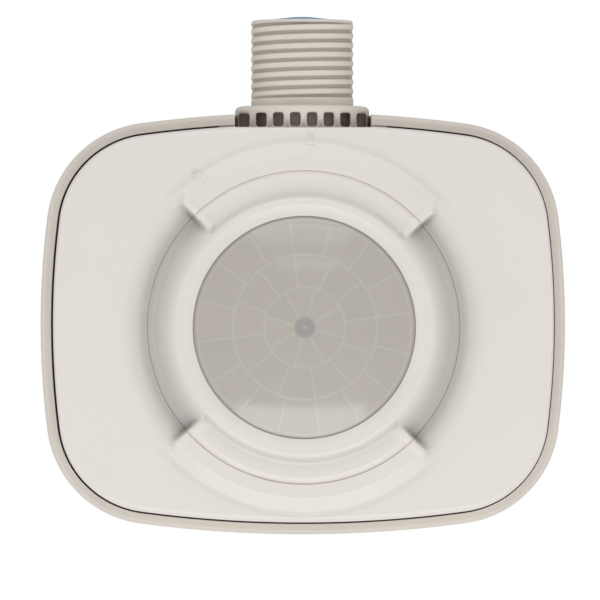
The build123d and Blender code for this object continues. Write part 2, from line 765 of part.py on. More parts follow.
with BuildPart() as varistor:
    with BuildSketch(Plane.YZ.offset(-30.8)):
        with Locations((-power_board_depth - 5.2, body_z - 15.8)):
            Circle(4.5)
    extrude(amount=3.6)
    fillet(varistor.edges(), 0.7)
save(varistor, "varistor")

with BuildPart() as fuse:
    with BuildSketch(Plane.XY.offset(body_z - 20.5)):
        with Locations((-37.6, -power_board_depth - 2.3)):
            Circle(1.9)
    extrude(amount=9.5)
    fillet(fuse.edges().filter_by(GeomType.CIRCLE), 0.4)
save(fuse, "fuse")

with BuildPart() as rectifier_diodes:
    with BuildSketch(Plane.XY.offset(body_z - 30.0)):
        with Locations(*[(x, -power_board_depth - 1.7) for x in (-17.5, -13.0, -8.5, -4.0)]):
            Circle(1.35)
    extrude(amount=5.0)
save(rectifier_diodes, "rectifier_diodes")

with BuildPart() as power_resistors:
    with BuildSketch(Plane.XY.offset(body_z - 30.5)):
        with Locations(*[(x, -power_board_depth - 1.6) for x in (4.0, 8.5, 13.0)]):
            Circle(1.25)
    extrude(amount=6.3)
    fillet(power_resistors.edges().filter_by(GeomType.CIRCLE), 0.4)
save(power_resistors, "power_resistors")

terminal_pitch = 5.0
terminal_z = body_z + 26.6
terminal_tall = 9.0
with BuildPart() as terminal_block:
    with BuildSketch(front(power_board_depth, 0, terminal_z)):
        Rectangle(3 * terminal_pitch + 0.4, 7.6)
    extrude(amount=terminal_tall)
    with BuildSketch(Plane.XY.offset(terminal_z + 3.8)):
        with GridLocations(terminal_pitch, 1, 3, 1):
            with Locations((0, -power_board_depth - 3.4)):
                Rectangle(3.2, 3.2)
    extrude(amount=-5.5, mode=Mode.SUBTRACT)
    with BuildSketch(front(power_board_depth + terminal_tall, 0, terminal_z)):
        with GridLocations(terminal_pitch, 1, 3, 1):
            Circle(1.9)
    extrude(amount=-3.6, mode=Mode.SUBTRACT)
save(terminal_block, "terminal_block")

with BuildPart() as terminal_screws:
    with BuildSketch(front(power_board_depth + terminal_tall - 3.6, 0, terminal_z)):
        with GridLocations(terminal_pitch, 1, 3, 1):
            Circle(1.75)
    extrude(amount=2.4)
    with BuildSketch(front(power_board_depth + terminal_tall - 1.2, 0, terminal_z)):
        with GridLocations(terminal_pitch, 1, 3, 1):
            Rectangle(3.6, 0.6)
    extrude(amount=-0.8, mode=Mode.SUBTRACT)
save(terminal_screws, "terminal_screws")
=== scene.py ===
"""Motion sensor: moulded surfaces, finishes and a studio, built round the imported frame.

Lengths inside the surface functions are millimetres. A depth is a distance towards the lens
side, so a depth d lies at y = -d. Angles run round the lens axis, anticlockwise from +X as
seen from the lens side.
"""

import json
import math

import bmesh
import bpy
import numpy as np
from bpy.props import FloatProperty, FloatVectorProperty, IntProperty, PointerProperty
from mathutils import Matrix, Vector


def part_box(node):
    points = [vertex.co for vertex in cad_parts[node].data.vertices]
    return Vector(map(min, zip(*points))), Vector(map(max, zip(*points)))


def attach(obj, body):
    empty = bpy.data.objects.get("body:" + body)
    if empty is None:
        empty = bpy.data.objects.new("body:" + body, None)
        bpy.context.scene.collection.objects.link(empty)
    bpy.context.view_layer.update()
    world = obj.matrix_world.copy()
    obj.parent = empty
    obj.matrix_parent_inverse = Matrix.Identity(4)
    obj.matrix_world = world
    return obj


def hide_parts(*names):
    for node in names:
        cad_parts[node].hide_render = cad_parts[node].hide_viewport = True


bl_info = {
    "name": "Motion Sensor",
    "version": (1, 0, 0),
    "blender": (4, 5, 0),
    "location": "View3D > Sidebar > Sensor",
    "description": "Builds the moulded surfaces and finishes of a fixture-mount motion sensor",
    "category": "Add Mesh",
}

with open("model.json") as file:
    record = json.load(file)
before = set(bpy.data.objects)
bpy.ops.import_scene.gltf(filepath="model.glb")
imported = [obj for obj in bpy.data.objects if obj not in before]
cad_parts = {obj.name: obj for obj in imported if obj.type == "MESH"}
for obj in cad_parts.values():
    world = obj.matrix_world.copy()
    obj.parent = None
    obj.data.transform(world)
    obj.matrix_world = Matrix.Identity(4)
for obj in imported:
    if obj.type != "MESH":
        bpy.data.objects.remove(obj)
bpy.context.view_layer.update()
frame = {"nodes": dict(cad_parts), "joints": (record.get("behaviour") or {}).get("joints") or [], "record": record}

MM = 0.001
joints = {joint["name"]: joint for joint in frame["joints"]}
LENS_Z = joints["lens_twist"]["pos_m"][2] / MM
rear_low, rear_high = (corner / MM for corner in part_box("rear_housing"))
ring_low, ring_high = (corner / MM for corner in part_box("lens_ring"))
nipple_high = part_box("conduit_nipple")[1] / MM
HALF_WIDTH = rear_high.x
HALF_HEIGHT = 41.53
BODY_Z = rear_low.z + HALF_HEIGHT
RING_RADIUS = ring_high.x
CREST_DEPTH = -ring_low.y
LENS_DEPTH = -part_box("fresnel_lens")[0].y / MM
NIPPLE_TOP = nipple_high.z
COLLAR_RADIUS = nipple_high.x
SHARP_ANGLE = math.radians(42.0)
MERGE_DISTANCE = 2e-7
CROWD_SPREAD = math.radians(3.0)
CROWD_HEIGHT = 5.0
COVER_COLUMNS = 960
RING_COLUMNS = 800
LENS_COLUMNS = 640
NIPPLE_COLUMNS = 300
TUBE_COLUMNS = 48


# ---- Sizes and colours a user changes
class HousingProps(bpy.types.PropertyGroup):
    half_height: FloatProperty(
        name="Half height", description="Half the housing's height", default=HALF_HEIGHT * MM, unit="LENGTH")
    top_arc: FloatProperty(
        name="Top arc", description="Radius of the shallow top and bottom arcs",
        default=240 * MM, unit="LENGTH")
    side_arc: FloatProperty(
        name="Side arc", description="Radius of the shallow side arcs", default=166 * MM, unit="LENGTH")
    corner: FloatProperty(
        name="Corner", description="Radius of the corner arcs", default=21.2 * MM, unit="LENGTH")
    colour: FloatVectorProperty(
        name="Colour", description="Beige-grey of the rear shell and the nipple", subtype="COLOR",
        size=3, default=(0.73, 0.675, 0.605), min=0, max=1)


class CoverProps(bpy.types.PropertyGroup):
    inset: FloatProperty(
        name="Inset", description="Gap from the housing's silhouette to the cover's side",
        default=2.58 * MM, unit="LENGTH")
    crown: FloatProperty(
        name="Crown", description="Radius of the cover's shallow crown", default=900 * MM, unit="LENGTH")
    rounding: FloatProperty(
        name="Edge rounding", description="Radius of the cover's front edge", default=1.2 * MM, unit="LENGTH")
    recess_angle: FloatProperty(
        name="Recess angle", description="Half the angle that each finger recess takes",
        default=math.radians(43.2), unit="ROTATION")
    colour: FloatVectorProperty(
        name="Colour", description="White of the cover and the lens ring", subtype="COLOR",
        size=3, default=(0.82, 0.772, 0.73), min=0, max=1)


class LensProps(bpy.types.PropertyGroup):
    facets_inner: IntProperty(
        name="Inner facets", description="Facets in the inner ring", default=8, min=3)
    facets_middle: IntProperty(
        name="Middle facets", description="Facets in the middle ring", default=12, min=3)
    facets_outer: IntProperty(
        name="Outer facets", description="Facets in the outer ring", default=16, min=3)
    colour: FloatVectorProperty(
        name="Colour", description="Milky grey of the lens", subtype="COLOR",
        size=3, default=(0.50, 0.465, 0.415), min=0, max=1)


class ThreadProps(bpy.types.PropertyGroup):
    pitch: FloatProperty(
        name="Pitch", description="Rise of the thread in one turn",
        default=1.814 * MM, unit="LENGTH", precision=4)
    depth: FloatProperty(
        name="Depth", description="Depth of the rounded groove",
        default=0.85 * MM, unit="LENGTH", precision=4)
    land: FloatProperty(
        name="Land", description="Distance of the smooth parting lands from the axis",
        default=9.9 * MM, unit="LENGTH")


# ---- Surfaces
def smooth_step(low, high, value):
    """0 below low, 1 above high, and 3t^2 - 2t^3 between, with t the share of the way."""
    t = np.clip((value - low) / (high - low), 0.0, 1.0)
    return t * t * (3.0 - 2.0 * t)


def bell(distance, width):
    """exp(-(distance / width)^2)."""
    return np.exp(-((distance / width) ** 2))


def apart(first, second):
    """Signed angle from the second direction to the first, within half a turn."""
    return np.angle(np.exp(1j * (first - second)))


def folded(angles):
    """Angles mirrored about both axes into the first quarter."""
    return np.arctan2(np.abs(np.sin(angles)), np.abs(np.cos(angles)))


def rounded_edge(radius, count):
    """Pairs of radius * (1 - sin t) and radius * (1 - cos t), with t over a quarter turn."""
    turns = np.linspace(0, math.pi / 2, count)
    return [(radius * (1 - math.sin(turn)), radius * (1 - math.cos(turn))) for turn in turns]


def crowded_angles(count, centres):
    """A full turn of angles in radians, spaced closer near the given centres.

    The density is 1 plus a bell of CROWD_HEIGHT at each centre; the angles are where the
    density's running sum passes equal steps.
    """
    fine = np.linspace(0.0, 2 * math.pi, 20001)
    density = np.ones_like(fine)
    for centre in centres:
        density += CROWD_HEIGHT * bell(apart(fine, centre), CROWD_SPREAD)
    total = np.concatenate([[0.0], np.cumsum((density[1:] + density[:-1]) / 2)])
    return np.interp(np.arange(count) / count * total[-1], total, fine)


def arc_through(first, middle, last, count):
    """Points along the circular arc through three points, evenly spaced in angle."""
    (ax, ay), (bx, by), (cx, cy) = first, middle, last
    d = 2 * (ax * (by - cy) + bx * (cy - ay) + cx * (ay - by))
    ux = ((ax**2 + ay**2) * (by - cy) + (bx**2 + by**2) * (cy - ay) + (cx**2 + cy**2) * (ay - by)) / d
    uy = ((ax**2 + ay**2) * (cx - bx) + (bx**2 + by**2) * (ax - cx) + (cx**2 + cy**2) * (bx - ax)) / d
    start = math.atan2(ay - uy, ax - ux)
    middle_turn = apart(math.atan2(by - uy, bx - ux), start)
    end_turn = apart(math.atan2(cy - uy, cx - ux), start)
    if middle_turn * end_turn < 0:
        end_turn += math.copysign(2 * math.pi, middle_turn)
    turn = start + np.linspace(0.0, end_turn, count)
    radius = math.hypot(ax - ux, ay - uy)
    return np.stack([ux + radius * np.cos(turn), uy + radius * np.sin(turn)], -1)


def row_at(depth, x, z):
    """Points with the given depth, x and z."""
    return np.stack([x, -depth * np.ones_like(x), z], -1)


def polar_row(angles, radius, depth):
    """One row of points round the lens axis at the given radius and depth."""
    return row_at(depth, radius * np.cos(angles), LENS_Z + radius * np.sin(angles))


def polar_rows(angles, line):
    """A row for each pair of radius and depth along a line."""
    return [polar_row(angles, radius, depth) for radius, depth in line]


def placed(name, data):
    """A new object of the data, linked to the scene."""
    made = bpy.data.objects.new(name, data)
    bpy.context.scene.collection.objects.link(made)
    return made


def mesh_object(name, shells, body, slot, base=None):
    """Puts shells, pairs of points (mm) and faces, into one smooth mesh that rides on a body.

    Doubles are merged, every shell's faces are turned outwards, and edges sharper than
    SHARP_ANGLE stay sharp. A base mesh, already in metres, is taken in as it is.
    """
    shape = bmesh.new()
    if base:
        shape.from_mesh(base)
    for points, faces in shells:
        part = bpy.data.meshes.new("part")
        part.from_pydata(np.asarray(points) * MM, [], faces)
        shape.from_mesh(part)
        bpy.data.meshes.remove(part)
    bmesh.ops.remove_doubles(shape, verts=shape.verts, dist=MERGE_DISTANCE)
    bmesh.ops.recalc_face_normals(shape, faces=shape.faces)
    mesh = bpy.data.meshes.new(name)
    shape.to_mesh(mesh)
    shape.free()
    mesh.polygons.foreach_set("use_smooth", np.ones(len(mesh.polygons), bool))
    mesh.set_sharp_from_angle(angle=SHARP_ANGLE)
    mesh.materials.append(finish_of(slot))
    piece = placed(name, mesh)
    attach(piece, body)
    return piece


def grid_faces(rows, columns, closed_rows):
    """Quads of a grid whose columns go round, and whose rows close too if asked."""
    index = np.arange(rows * columns).reshape(rows, columns)
    upper = np.roll(index, -1, 0) if closed_rows else index[1:]
    lower = index if closed_rows else index[:-1]
    quads = np.stack([lower, np.roll(lower, -1, 1), np.roll(upper, -1, 1), upper], -1)
    return quads.reshape(-1, 4).tolist()


def revolved(rows):
    """A shell from a closed profile's rows of points."""
    return rows.reshape(-1, 3), grid_faces(rows.shape[0], rows.shape[1], True)


def outline_by_normal(direction, inset):
    """Points of the housing's outline where its outward normal has the given directions.

    The outline is four shallow arcs and four corner arcs, so each point is the centre of its
    arc plus (radius - inset) times the normal. Directions are folded into one quarter first.
    """
    housing = bpy.context.scene.sensor_housing
    height = housing.half_height / MM
    top, side, corner = (value / MM for value in (housing.top_arc, housing.side_arc, housing.corner))
    top_centre = np.array([0.0, height - top])
    side_centre = np.array([HALF_WIDTH - side, 0.0])
    span = side_centre - top_centre
    length = np.hypot(*span)
    along = ((top - corner) ** 2 - (side - corner) ** 2 + length**2) / (2 * length)
    across = math.sqrt((top - corner) ** 2 - along**2)
    unit = span / length
    corner_centre = top_centre + unit * along + np.array([unit[1], -unit[0]]) * across
    side_end = math.atan2(corner_centre[1], corner_centre[0] - side_centre[0])
    top_end = math.atan2(corner_centre[1] - top_centre[1], corner_centre[0])
    cosine, sine = np.cos(direction), np.sin(direction)
    turn = folded(direction)[:, None]
    centre = np.where(turn < side_end, side_centre, np.where(turn < top_end, corner_centre, top_centre))
    radius = np.where(turn < side_end, side, np.where(turn < top_end, corner, top)) - inset
    quarter = centre + radius * np.stack([np.abs(cosine), np.abs(sine)], -1)
    return quarter * np.stack([np.sign(cosine), np.sign(sine)], -1) + [0.0, BODY_Z]


def outline_directions(angles, inset):
    """Normal directions of the outline where rays from the lens axis at the angles cross it."""
    direction = np.linspace(-0.5, 2 * math.pi + 0.5, 9001)
    points = outline_by_normal(direction, inset)
    seen = np.unwrap(np.arctan2(points[:, 1] - LENS_Z, points[:, 0]))
    return np.interp(angles, seen, direction)


# ---- Cover
SEAM_ROUNDING = 0.11
SEAT_RADIUS = RING_RADIUS + 0.015
SEAT_BORE = 28.4
SEAT_DEPTH = 11.0
SEAT_FLANGE_DEPTH = 9.0
SEAT_WALL_RADIUS = 32.7
SEAT_WALL_TOP = 12.6
COVER_EDGE_DEPTH = -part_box("front_cover")[1].y / MM
COVER_WALL = 2.2
CEILING_DROP = 0.6
COVER_APEX = 15.9
WING_DEPTH = 16.8
TOP_EDGE_RADIUS = 33.4
BEVEL_RADIUS = 36.2
BEVEL_DROP = 1.15
FOOT_DROP = 1.62
ROLL_ARC = ((30.0, 12.2), (32.2, 14.15), (35.4, 15.24))  # radius and depth of three points
FOOT_RADIUS = 36.9
NOTCH_Z = -4.43
NOTCH_HALF_WIDTH = COLLAR_RADIUS + 0.15
NOTCH_EDGE_SHARE = 0.35
SCREW_HEAD_RADIUS = 2.8
SCREW_BOSS = (3.4, 1.15, 1.0, 13.4)  # outer and bore radius, lowest and highest depth
WALL_BLEND = math.radians(0.8)
RIB_WIDTH = 2.3
RIB_RISE = 0.5
RIB_END_RADIUS = 35.9
PATTERN_TURN = math.radians(-2.0)
# Middle radius, width and weight of each bell of painted shade: recess, recess corner, valley, boss foot
PAINTED_SHADE_BELLS = ((30.0, 3.2, 0.75), (31.2, 2.6, 0.9), (26.1, 0.5, 0.35), (FOOT_RADIUS, 0.5, 0.15))


def past_wall(angles):
    """Angle from the nearest recess wall, positive on the boss's side.

    The angles are folded into one quarter, about the slightly turned pattern of the boss.
    """
    return folded(angles - PATTERN_TURN) - bpy.context.scene.sensor_cover.recess_angle


def wing_share(angles, radius):
    """1 above and below the lens and 0 in the finger recesses.

    It is a smooth step of the angle from the horizontal, which spreads towards the boss's foot.
    """
    blend = WALL_BLEND * SEAT_RADIUS / radius * (1 + 8 * smooth_step(33.2, FOOT_RADIUS, radius))
    return smooth_step(-blend, blend, past_wall(angles))


def rib_rise(angles, radius):
    """Height of the rounded grip rib along the boss's end: a half sine across its width."""
    across = np.clip(past_wall(angles) * radius / RIB_WIDTH, 0.0, 1.0)
    ends = smooth_step(25.9, 26.9, radius) * (1 - smooth_step(RIB_END_RADIUS - 1.6, RIB_END_RADIUS, radius))
    return RIB_RISE * np.sin(math.pi * across) ** 0.8 * ends


def crown_depth(x, z):
    """Depth of the cover's shallow sphere: apex minus the squared distance over twice the radius."""
    radius = bpy.context.scene.sensor_cover.crown / MM
    return COVER_APEX - (x**2 + (z - BODY_Z) ** 2) / (2 * radius)


def boss_depth(radius):
    """Flat top, bevel and foot of the raised boss, averaged over a short width to round them."""
    radii = [SEAT_RADIUS, TOP_EDGE_RADIUS, BEVEL_RADIUS, FOOT_RADIUS - 0.2]
    depths = [WING_DEPTH, WING_DEPTH, WING_DEPTH - BEVEL_DROP, WING_DEPTH - FOOT_DROP]
    return sum(np.interp(radius + shift, radii, depths) for shift in (-0.2, -0.1, 0.0, 0.1, 0.2)) / 5


def roll_depth(radius):
    """Depth of the recess's outer side, an arc that rolls over into the cover's face."""
    arc = arc_through(*ROLL_ARC, 60)
    return np.interp(radius, arc[:, 0], arc[:, 1])


def cover_depth(radius, angles):
    """Depth of the cover's outer face at a radius near the seat."""
    x = radius * np.cos(angles)
    z = LENS_Z + radius * np.sin(angles)
    crown = crown_depth(x, z)
    share = wing_share(angles, radius)
    settle = smooth_step(TOP_EDGE_RADIUS + 0.2, FOOT_RADIUS, radius)
    land = smooth_step(BEVEL_RADIUS, FOOT_RADIUS, radius)
    boss = boss_depth(radius) * (1 - land) + crown * land
    roll = roll_depth(radius) * (1 - settle) + crown * settle
    return share * boss + (1 - share) * roll + rib_rise(angles, radius)


def wall_angles():
    """The four angles where the finger recesses meet the boss."""
    half = bpy.context.scene.sensor_cover.recess_angle
    return [PATTERN_TURN + angle for angle in (half, math.pi - half, math.pi + half, 2 * math.pi - half)]


def painted_shade_share(radius, angles):
    """How far painted shade darkens each point of the outer face, from 0 to 1.

    In a finger recess a bell across the radius, and a second, narrow one along the foot of its
    walls; a narrow bell in the valley outside the crest; a faint one at the foot of the boss.
    """
    share = wing_share(angles, radius)
    from_wall = np.min([np.abs(apart(angles, wall)) for wall in wall_angles()], 0)
    recess, corner, valley, foot = (
        weight * bell(radius - middle, width) for middle, width, weight in PAINTED_SHADE_BELLS)
    recess = recess + corner * bell(from_wall, math.radians(1.5))
    return np.where(radius < FOOT_RADIUS + 3.0, (1 - share) * recess + share * (valley + foot), 0.0)


def cover_angles():
    """Angles for the cover's columns, crowded at the recess walls and the notch's ends."""
    angles = crowded_angles(COVER_COLUMNS, wall_angles())
    notch = math.atan2(NOTCH_Z - LENS_Z, NOTCH_HALF_WIDTH)
    steps = [side + nudge for side in (notch, math.pi - notch) for nudge in (-2e-4, 2e-4)]
    return np.sort(np.concatenate([angles, steps]))


def cover_rows(angles):
    """The cover's closed profile, row by row: seat, outer face, rounded edge, side and inside."""
    cover = bpy.context.scene.sensor_cover
    inset, rounding = cover.inset / MM, cover.rounding / MM
    rim = cover_depth(SEAT_RADIUS + 0.3, angles)
    line = [(SEAT_BORE, SEAT_FLANGE_DEPTH), (SEAT_BORE, SEAT_DEPTH), (SEAT_RADIUS, SEAT_DEPTH)]
    line += [(SEAT_RADIUS, SEAT_DEPTH + (rim - 0.3 - SEAT_DEPTH) * share) for share in (0.5, 0.95)]
    line += [(SEAT_RADIUS + out, rim - fall) for fall, out in rounded_edge(SEAM_ROUNDING, 5)]
    face_radii = np.unique(np.concatenate([
        np.arange(SEAT_RADIUS + 0.45, 33.2, 0.3), np.arange(33.2, 33.7, 0.1), np.arange(33.7, 36.0, 0.28),
        np.arange(36.0, FOOT_RADIUS + 0.05, 0.1)]))
    line += [(radius, cover_depth(radius, angles)) for radius in face_radii]
    rows = polar_rows(angles, line)
    # From the boss's foot to where the edge starts to round, each column runs straight
    inner = rows[-1]
    directions = outline_directions(angles, inset + rounding)
    start = outline_by_normal(directions, inset + rounding)
    start = cut_notch(start, rounding * NOTCH_EDGE_SHARE)
    for share in np.linspace(0, 1, 15)[1:]:
        x = inner[:, 0] * (1 - share) + start[:, 0] * share
        z = inner[:, 2] * (1 - share) + start[:, 1] * share
        rows.append(row_at(crown_depth(x, z), x, z))
    edge_depth = crown_depth(*start.T)
    for back, fall in rounded_edge(rounding, 8)[1:]:
        out = cut_notch(outline_by_normal(directions, inset + back), back * NOTCH_EDGE_SHARE)
        rows.append(row_at(edge_depth - fall, *out.T))
    side = cut_notch(outline_by_normal(directions, inset), 0.0)
    rows += [row_at(COVER_EDGE_DEPTH + above, *side.T) for above in (2.5, 0.3, 0.0)]
    within = outline_by_normal(directions, inset + COVER_WALL)
    within[:, 1] = np.minimum(within[:, 1], NOTCH_Z - COVER_WALL)
    ceiling = crown_depth(*within.T) - COVER_WALL - CEILING_DROP
    rows += [row_at(depth, *within.T) for depth in (COVER_EDGE_DEPTH, ceiling)]
    rows += polar_rows(angles, [(SEAT_WALL_RADIUS, SEAT_WALL_TOP), (SEAT_WALL_RADIUS, SEAT_FLANGE_DEPTH)])
    return np.array(rows)


def cut_notch(points, back):
    """Keeps the cover's top edge straight under the nipple's collar."""
    inside = np.abs(points[:, 0]) < NOTCH_HALF_WIDTH
    points = points.copy()
    points[:, 1] = np.where(inside, np.minimum(points[:, 1], NOTCH_Z - back), points[:, 1])
    return points


# ---- Lens ring
CREST_RADIUS = 24.6
LIP_RADIUS = 21.9
LIP_DEPTH = 18.0
SCOOP_RADIUS = 30.0
SCOOP_DEPTH = 13.0
SKIRT_RADIUS = 28.1
SKIRT_INNER_RADIUS = 26.6
SKIRT_DEPTH = -ring_high.y
RING_BACK_DEPTH = 11.2
LUG_RADIUS = 30.2
LUG_THICKNESS = 1.5
LUG_ANGLES = (30.0, 150.0, 270.0)
LUG_HALF_ANGLE = 11.0
# Radius and depth of points: the crest's fall, the valley beside it, the lip and the inside
FALL_ARC = ((23.6, 18.5), (CREST_RADIUS, CREST_DEPTH), (25.6, 18.5))
VALLEY_ARC = ((25.6, 18.5), (25.95, 17.3), (26.9, WING_DEPTH))
RING_LIP = (
    (23.5, 17.3), (21.75, 17.3), (21.75, 17.85), (21.79, 17.95), (LIP_RADIUS - 0.03, LIP_DEPTH - 0.01))
RING_INSIDE = (
    (SKIRT_INNER_RADIUS, SKIRT_DEPTH), (SKIRT_INNER_RADIUS, 13.0), (24.4, 14.8), (24.4, 16.6), (23.5, 16.6))


def ring_depth(radius, angles):
    """Depth of the ring's face: a rounded crest, then the flat wing or the scooped recess.

    The crest climbs from the lip as a quarter sine and falls as an arc. The recess leaves the
    crest in a smooth step.
    """
    climb = np.linspace(0.0, 1.0, 14)
    inner = np.stack([
        LIP_RADIUS + (CREST_RADIUS - LIP_RADIUS) * climb,
        LIP_DEPTH + (CREST_DEPTH - LIP_DEPTH) * np.sin(climb * math.pi / 2)], -1)
    fall = arc_through(*FALL_ARC, 21)
    crest = np.concatenate([inner, fall[fall[:, 0] > CREST_RADIUS + 0.05]])
    valley = arc_through(*VALLEY_ARC, 14)[1:]
    wing_line = np.concatenate([crest, valley, [(29.5, WING_DEPTH), (RING_RADIUS, WING_DEPTH - 0.5)]])
    out = np.linspace(CREST_RADIUS + 0.1, RING_RADIUS, 30)
    sunk = smooth_step(CREST_RADIUS, SCOOP_RADIUS, out)
    scoop = np.stack([out, CREST_DEPTH - (CREST_DEPTH - SCOOP_DEPTH) * sunk], -1)
    scoop_line = np.concatenate([inner, scoop])
    wing, recess = 0.0, 0.0
    for shift in (-0.12, 0.0, 0.12):
        wing = wing + np.interp(radius + shift, wing_line[:, 0], wing_line[:, 1]) / 3
        recess = recess + np.interp(radius + shift, scoop_line[:, 0], scoop_line[:, 1]) / 3
    share = wing_share(angles, radius)
    return share * wing + (1 - share) * recess + rib_rise(angles, radius)


def ring_rows(angles):
    """The ring's closed profile, row by row: lip, crest, face, side, lugged skirt and inside."""
    fine, coarse = np.arange(LIP_RADIUS + 0.1, 27.2, 0.15), np.arange(27.3, RING_RADIUS - 0.3, 0.3)
    line = [*RING_LIP, *((radius, ring_depth(radius, angles)) for radius in (*fine, *coarse))]
    brink = ring_depth(RING_RADIUS - SEAM_ROUNDING, angles)
    line += [(RING_RADIUS - back, brink - fall) for back, fall in rounded_edge(SEAM_ROUNDING, 5)]
    side = RING_BACK_DEPTH - brink + 0.4
    line += [(RING_RADIUS, brink - 0.4 + side * share) for share in (0.1, 0.9, 1.0)]
    start, end = math.radians(LUG_HALF_ANGLE + 0.4), math.radians(LUG_HALF_ANGLE - 0.4)
    near = sum(smooth_step(start, end, np.abs(apart(angles, math.radians(lug)))) for lug in LUG_ANGLES)
    lug = SKIRT_RADIUS + (LUG_RADIUS - SKIRT_RADIUS) * near
    top = SKIRT_DEPTH + LUG_THICKNESS
    line += [(SKIRT_RADIUS, RING_BACK_DEPTH), (SKIRT_RADIUS, top), (lug, top), (lug, SKIRT_DEPTH)]
    return np.array(polar_rows(angles, [*line, *RING_INSIDE]))


# ---- Lens
LENS_RADIUS = 21.35
LENS_EDGE_DEPTH = 17.9
LENS_THICKNESS = 0.9
FACET_RADII = (2.2, 7.9, 14.1, 20.8)
FACET_TURNS = (math.radians(30.0), math.radians(8.5), math.radians(8.0))
BORDER_WIDTH = 0.13
BORDER_DEPTH = 0.014
OPTICAL_PULL = 0.42
LENS_FLANGE = (
    (LENS_RADIUS, 17.7), (21.45, 17.62), (21.68, 17.62), (21.7, 17.25), (23.4, 17.25), (23.4, 16.65),
    (LENS_RADIUS, 16.65))


def dome_depth(radius):
    """Depth of the lens's spherical dome, from the sagitta at its edge."""
    sagitta = LENS_DEPTH - LENS_EDGE_DEPTH
    ball = (LENS_RADIUS**2 + sagitta**2) / (2 * sagitta)
    return LENS_DEPTH - ball + np.sqrt(ball**2 - radius**2)


def facet_fields(radius, angles):
    """For each point: nearness to a facet's border (0 to 1), the facet's number, and its optical distance.

    Facets are the cells between four circles and evenly spaced spokes. The optical distance is
    measured from a centre part of the way out to the cell's middle, and sets its curved grooves.
    """
    props = bpy.context.scene.sensor_lens
    counts = (props.facets_inner, props.facets_middle, props.facets_outer)
    border = np.zeros_like(radius)
    number = np.zeros_like(radius)
    optical = radius.copy()
    x, y = radius * np.cos(angles), radius * np.sin(angles)
    for circle in FACET_RADII[1:]:
        border = np.maximum(border, bell(radius - circle, BORDER_WIDTH))
    for ring, (count, turn) in enumerate(zip(counts, FACET_TURNS)):
        low, high = FACET_RADII[ring], FACET_RADII[ring + 1]
        inside = (radius >= low) & (radius < high)
        step = 2 * math.pi / count
        cell = np.floor((angles - turn) / step)
        from_spoke = np.abs(np.mod(angles - turn + step / 2, step) - step / 2) * radius
        border = np.where(inside, np.maximum(border, bell(from_spoke, BORDER_WIDTH)), border)
        middle = turn + (cell + 0.5) * step
        pull = OPTICAL_PULL * (low + high) / 2
        distance = np.hypot(x - pull * np.cos(middle), y - pull * np.sin(middle))
        number = np.where(inside, 10.0 * (ring + 1) + np.mod(cell, count), number)
        optical = np.where(inside, distance, optical)
    return border, number, optical


def lens_shape():
    """Points and faces of the lens: a dome with fine border grooves, a flange and a smooth inside."""
    angles = np.linspace(0, 2 * math.pi, LENS_COLUMNS, endpoint=False)
    radii = np.concatenate([np.arange(0.2, LENS_RADIUS - 0.1, 0.195), [LENS_RADIUS - 0.06, LENS_RADIUS]])
    rows = []
    for radius in radii:
        border = facet_fields(np.full_like(angles, radius), angles)[0]
        rows.append(polar_row(angles, radius, dome_depth(radius) - BORDER_DEPTH * border))
    under = [(radius, dome_depth(radius) - LENS_THICKNESS) for radius in np.linspace(LENS_RADIUS, 1.0, 14)]
    grid = np.array(rows + polar_rows(angles, [*LENS_FLANGE, *under]))
    poles = np.array([[0.0, -LENS_DEPTH, LENS_Z], [0.0, -(LENS_DEPTH - LENS_THICKNESS), LENS_Z]])
    points = np.concatenate([grid.reshape(-1, 3), poles])
    count, columns = grid.shape[:2]
    first = np.arange(columns)
    beside, last = np.roll(first, -1), (count - 1) * columns
    front = np.stack([np.full(columns, len(points) - 2), first, beside], -1)
    back = np.stack([np.full(columns, len(points) - 1), last + beside, last + first], -1)
    return points, grid_faces(count, columns, False) + front.tolist() + back.tolist()


# ---- Nipple
NECK_HEIGHT = 1.3
THREAD_RADIUS = 10.35
BORE_RADIUS = 7.4
LAND_SPREAD = math.radians(13.0)
CUT_HEIGHT = 0.04
RIM_ROUNDING = 0.5
BORE_ROUNDING = 0.3


def thread_radius_at(z, angles):
    """Radius of the threaded barrel: a right-hand helical wave, filled flat at the two parting lands.

    The wave's phase is height over pitch minus the share of a turn. The lands are planes at a
    fixed distance from the axis on the left and right.
    """
    thread = bpy.context.scene.sensor_thread
    pitch, depth, land = thread.pitch / MM, thread.depth / MM, thread.land / MM
    phase = (z - NECK_HEIGHT) / pitch - angles / (2 * math.pi)
    from_groove = np.abs(np.mod(phase, 1.0) - 0.5)
    rounded = 1 - smooth_step(0.05, 0.3, from_groove)
    begun = smooth_step(NECK_HEIGHT - 0.1, NECK_HEIGHT + 0.7, z)
    ended = smooth_step(NIPPLE_TOP - 0.9, NIPPLE_TOP - 0.4, z)
    radius = THREAD_RADIUS - depth * begun * (1 - ended) * rounded
    away = folded(angles)
    plane = land / np.maximum(np.cos(away), 0.5)
    filled = 1 - smooth_step(LAND_SPREAD - math.radians(2.5), LAND_SPREAD, away)
    return radius * (1 - filled) + np.minimum(plane, THREAD_RADIUS) * filled


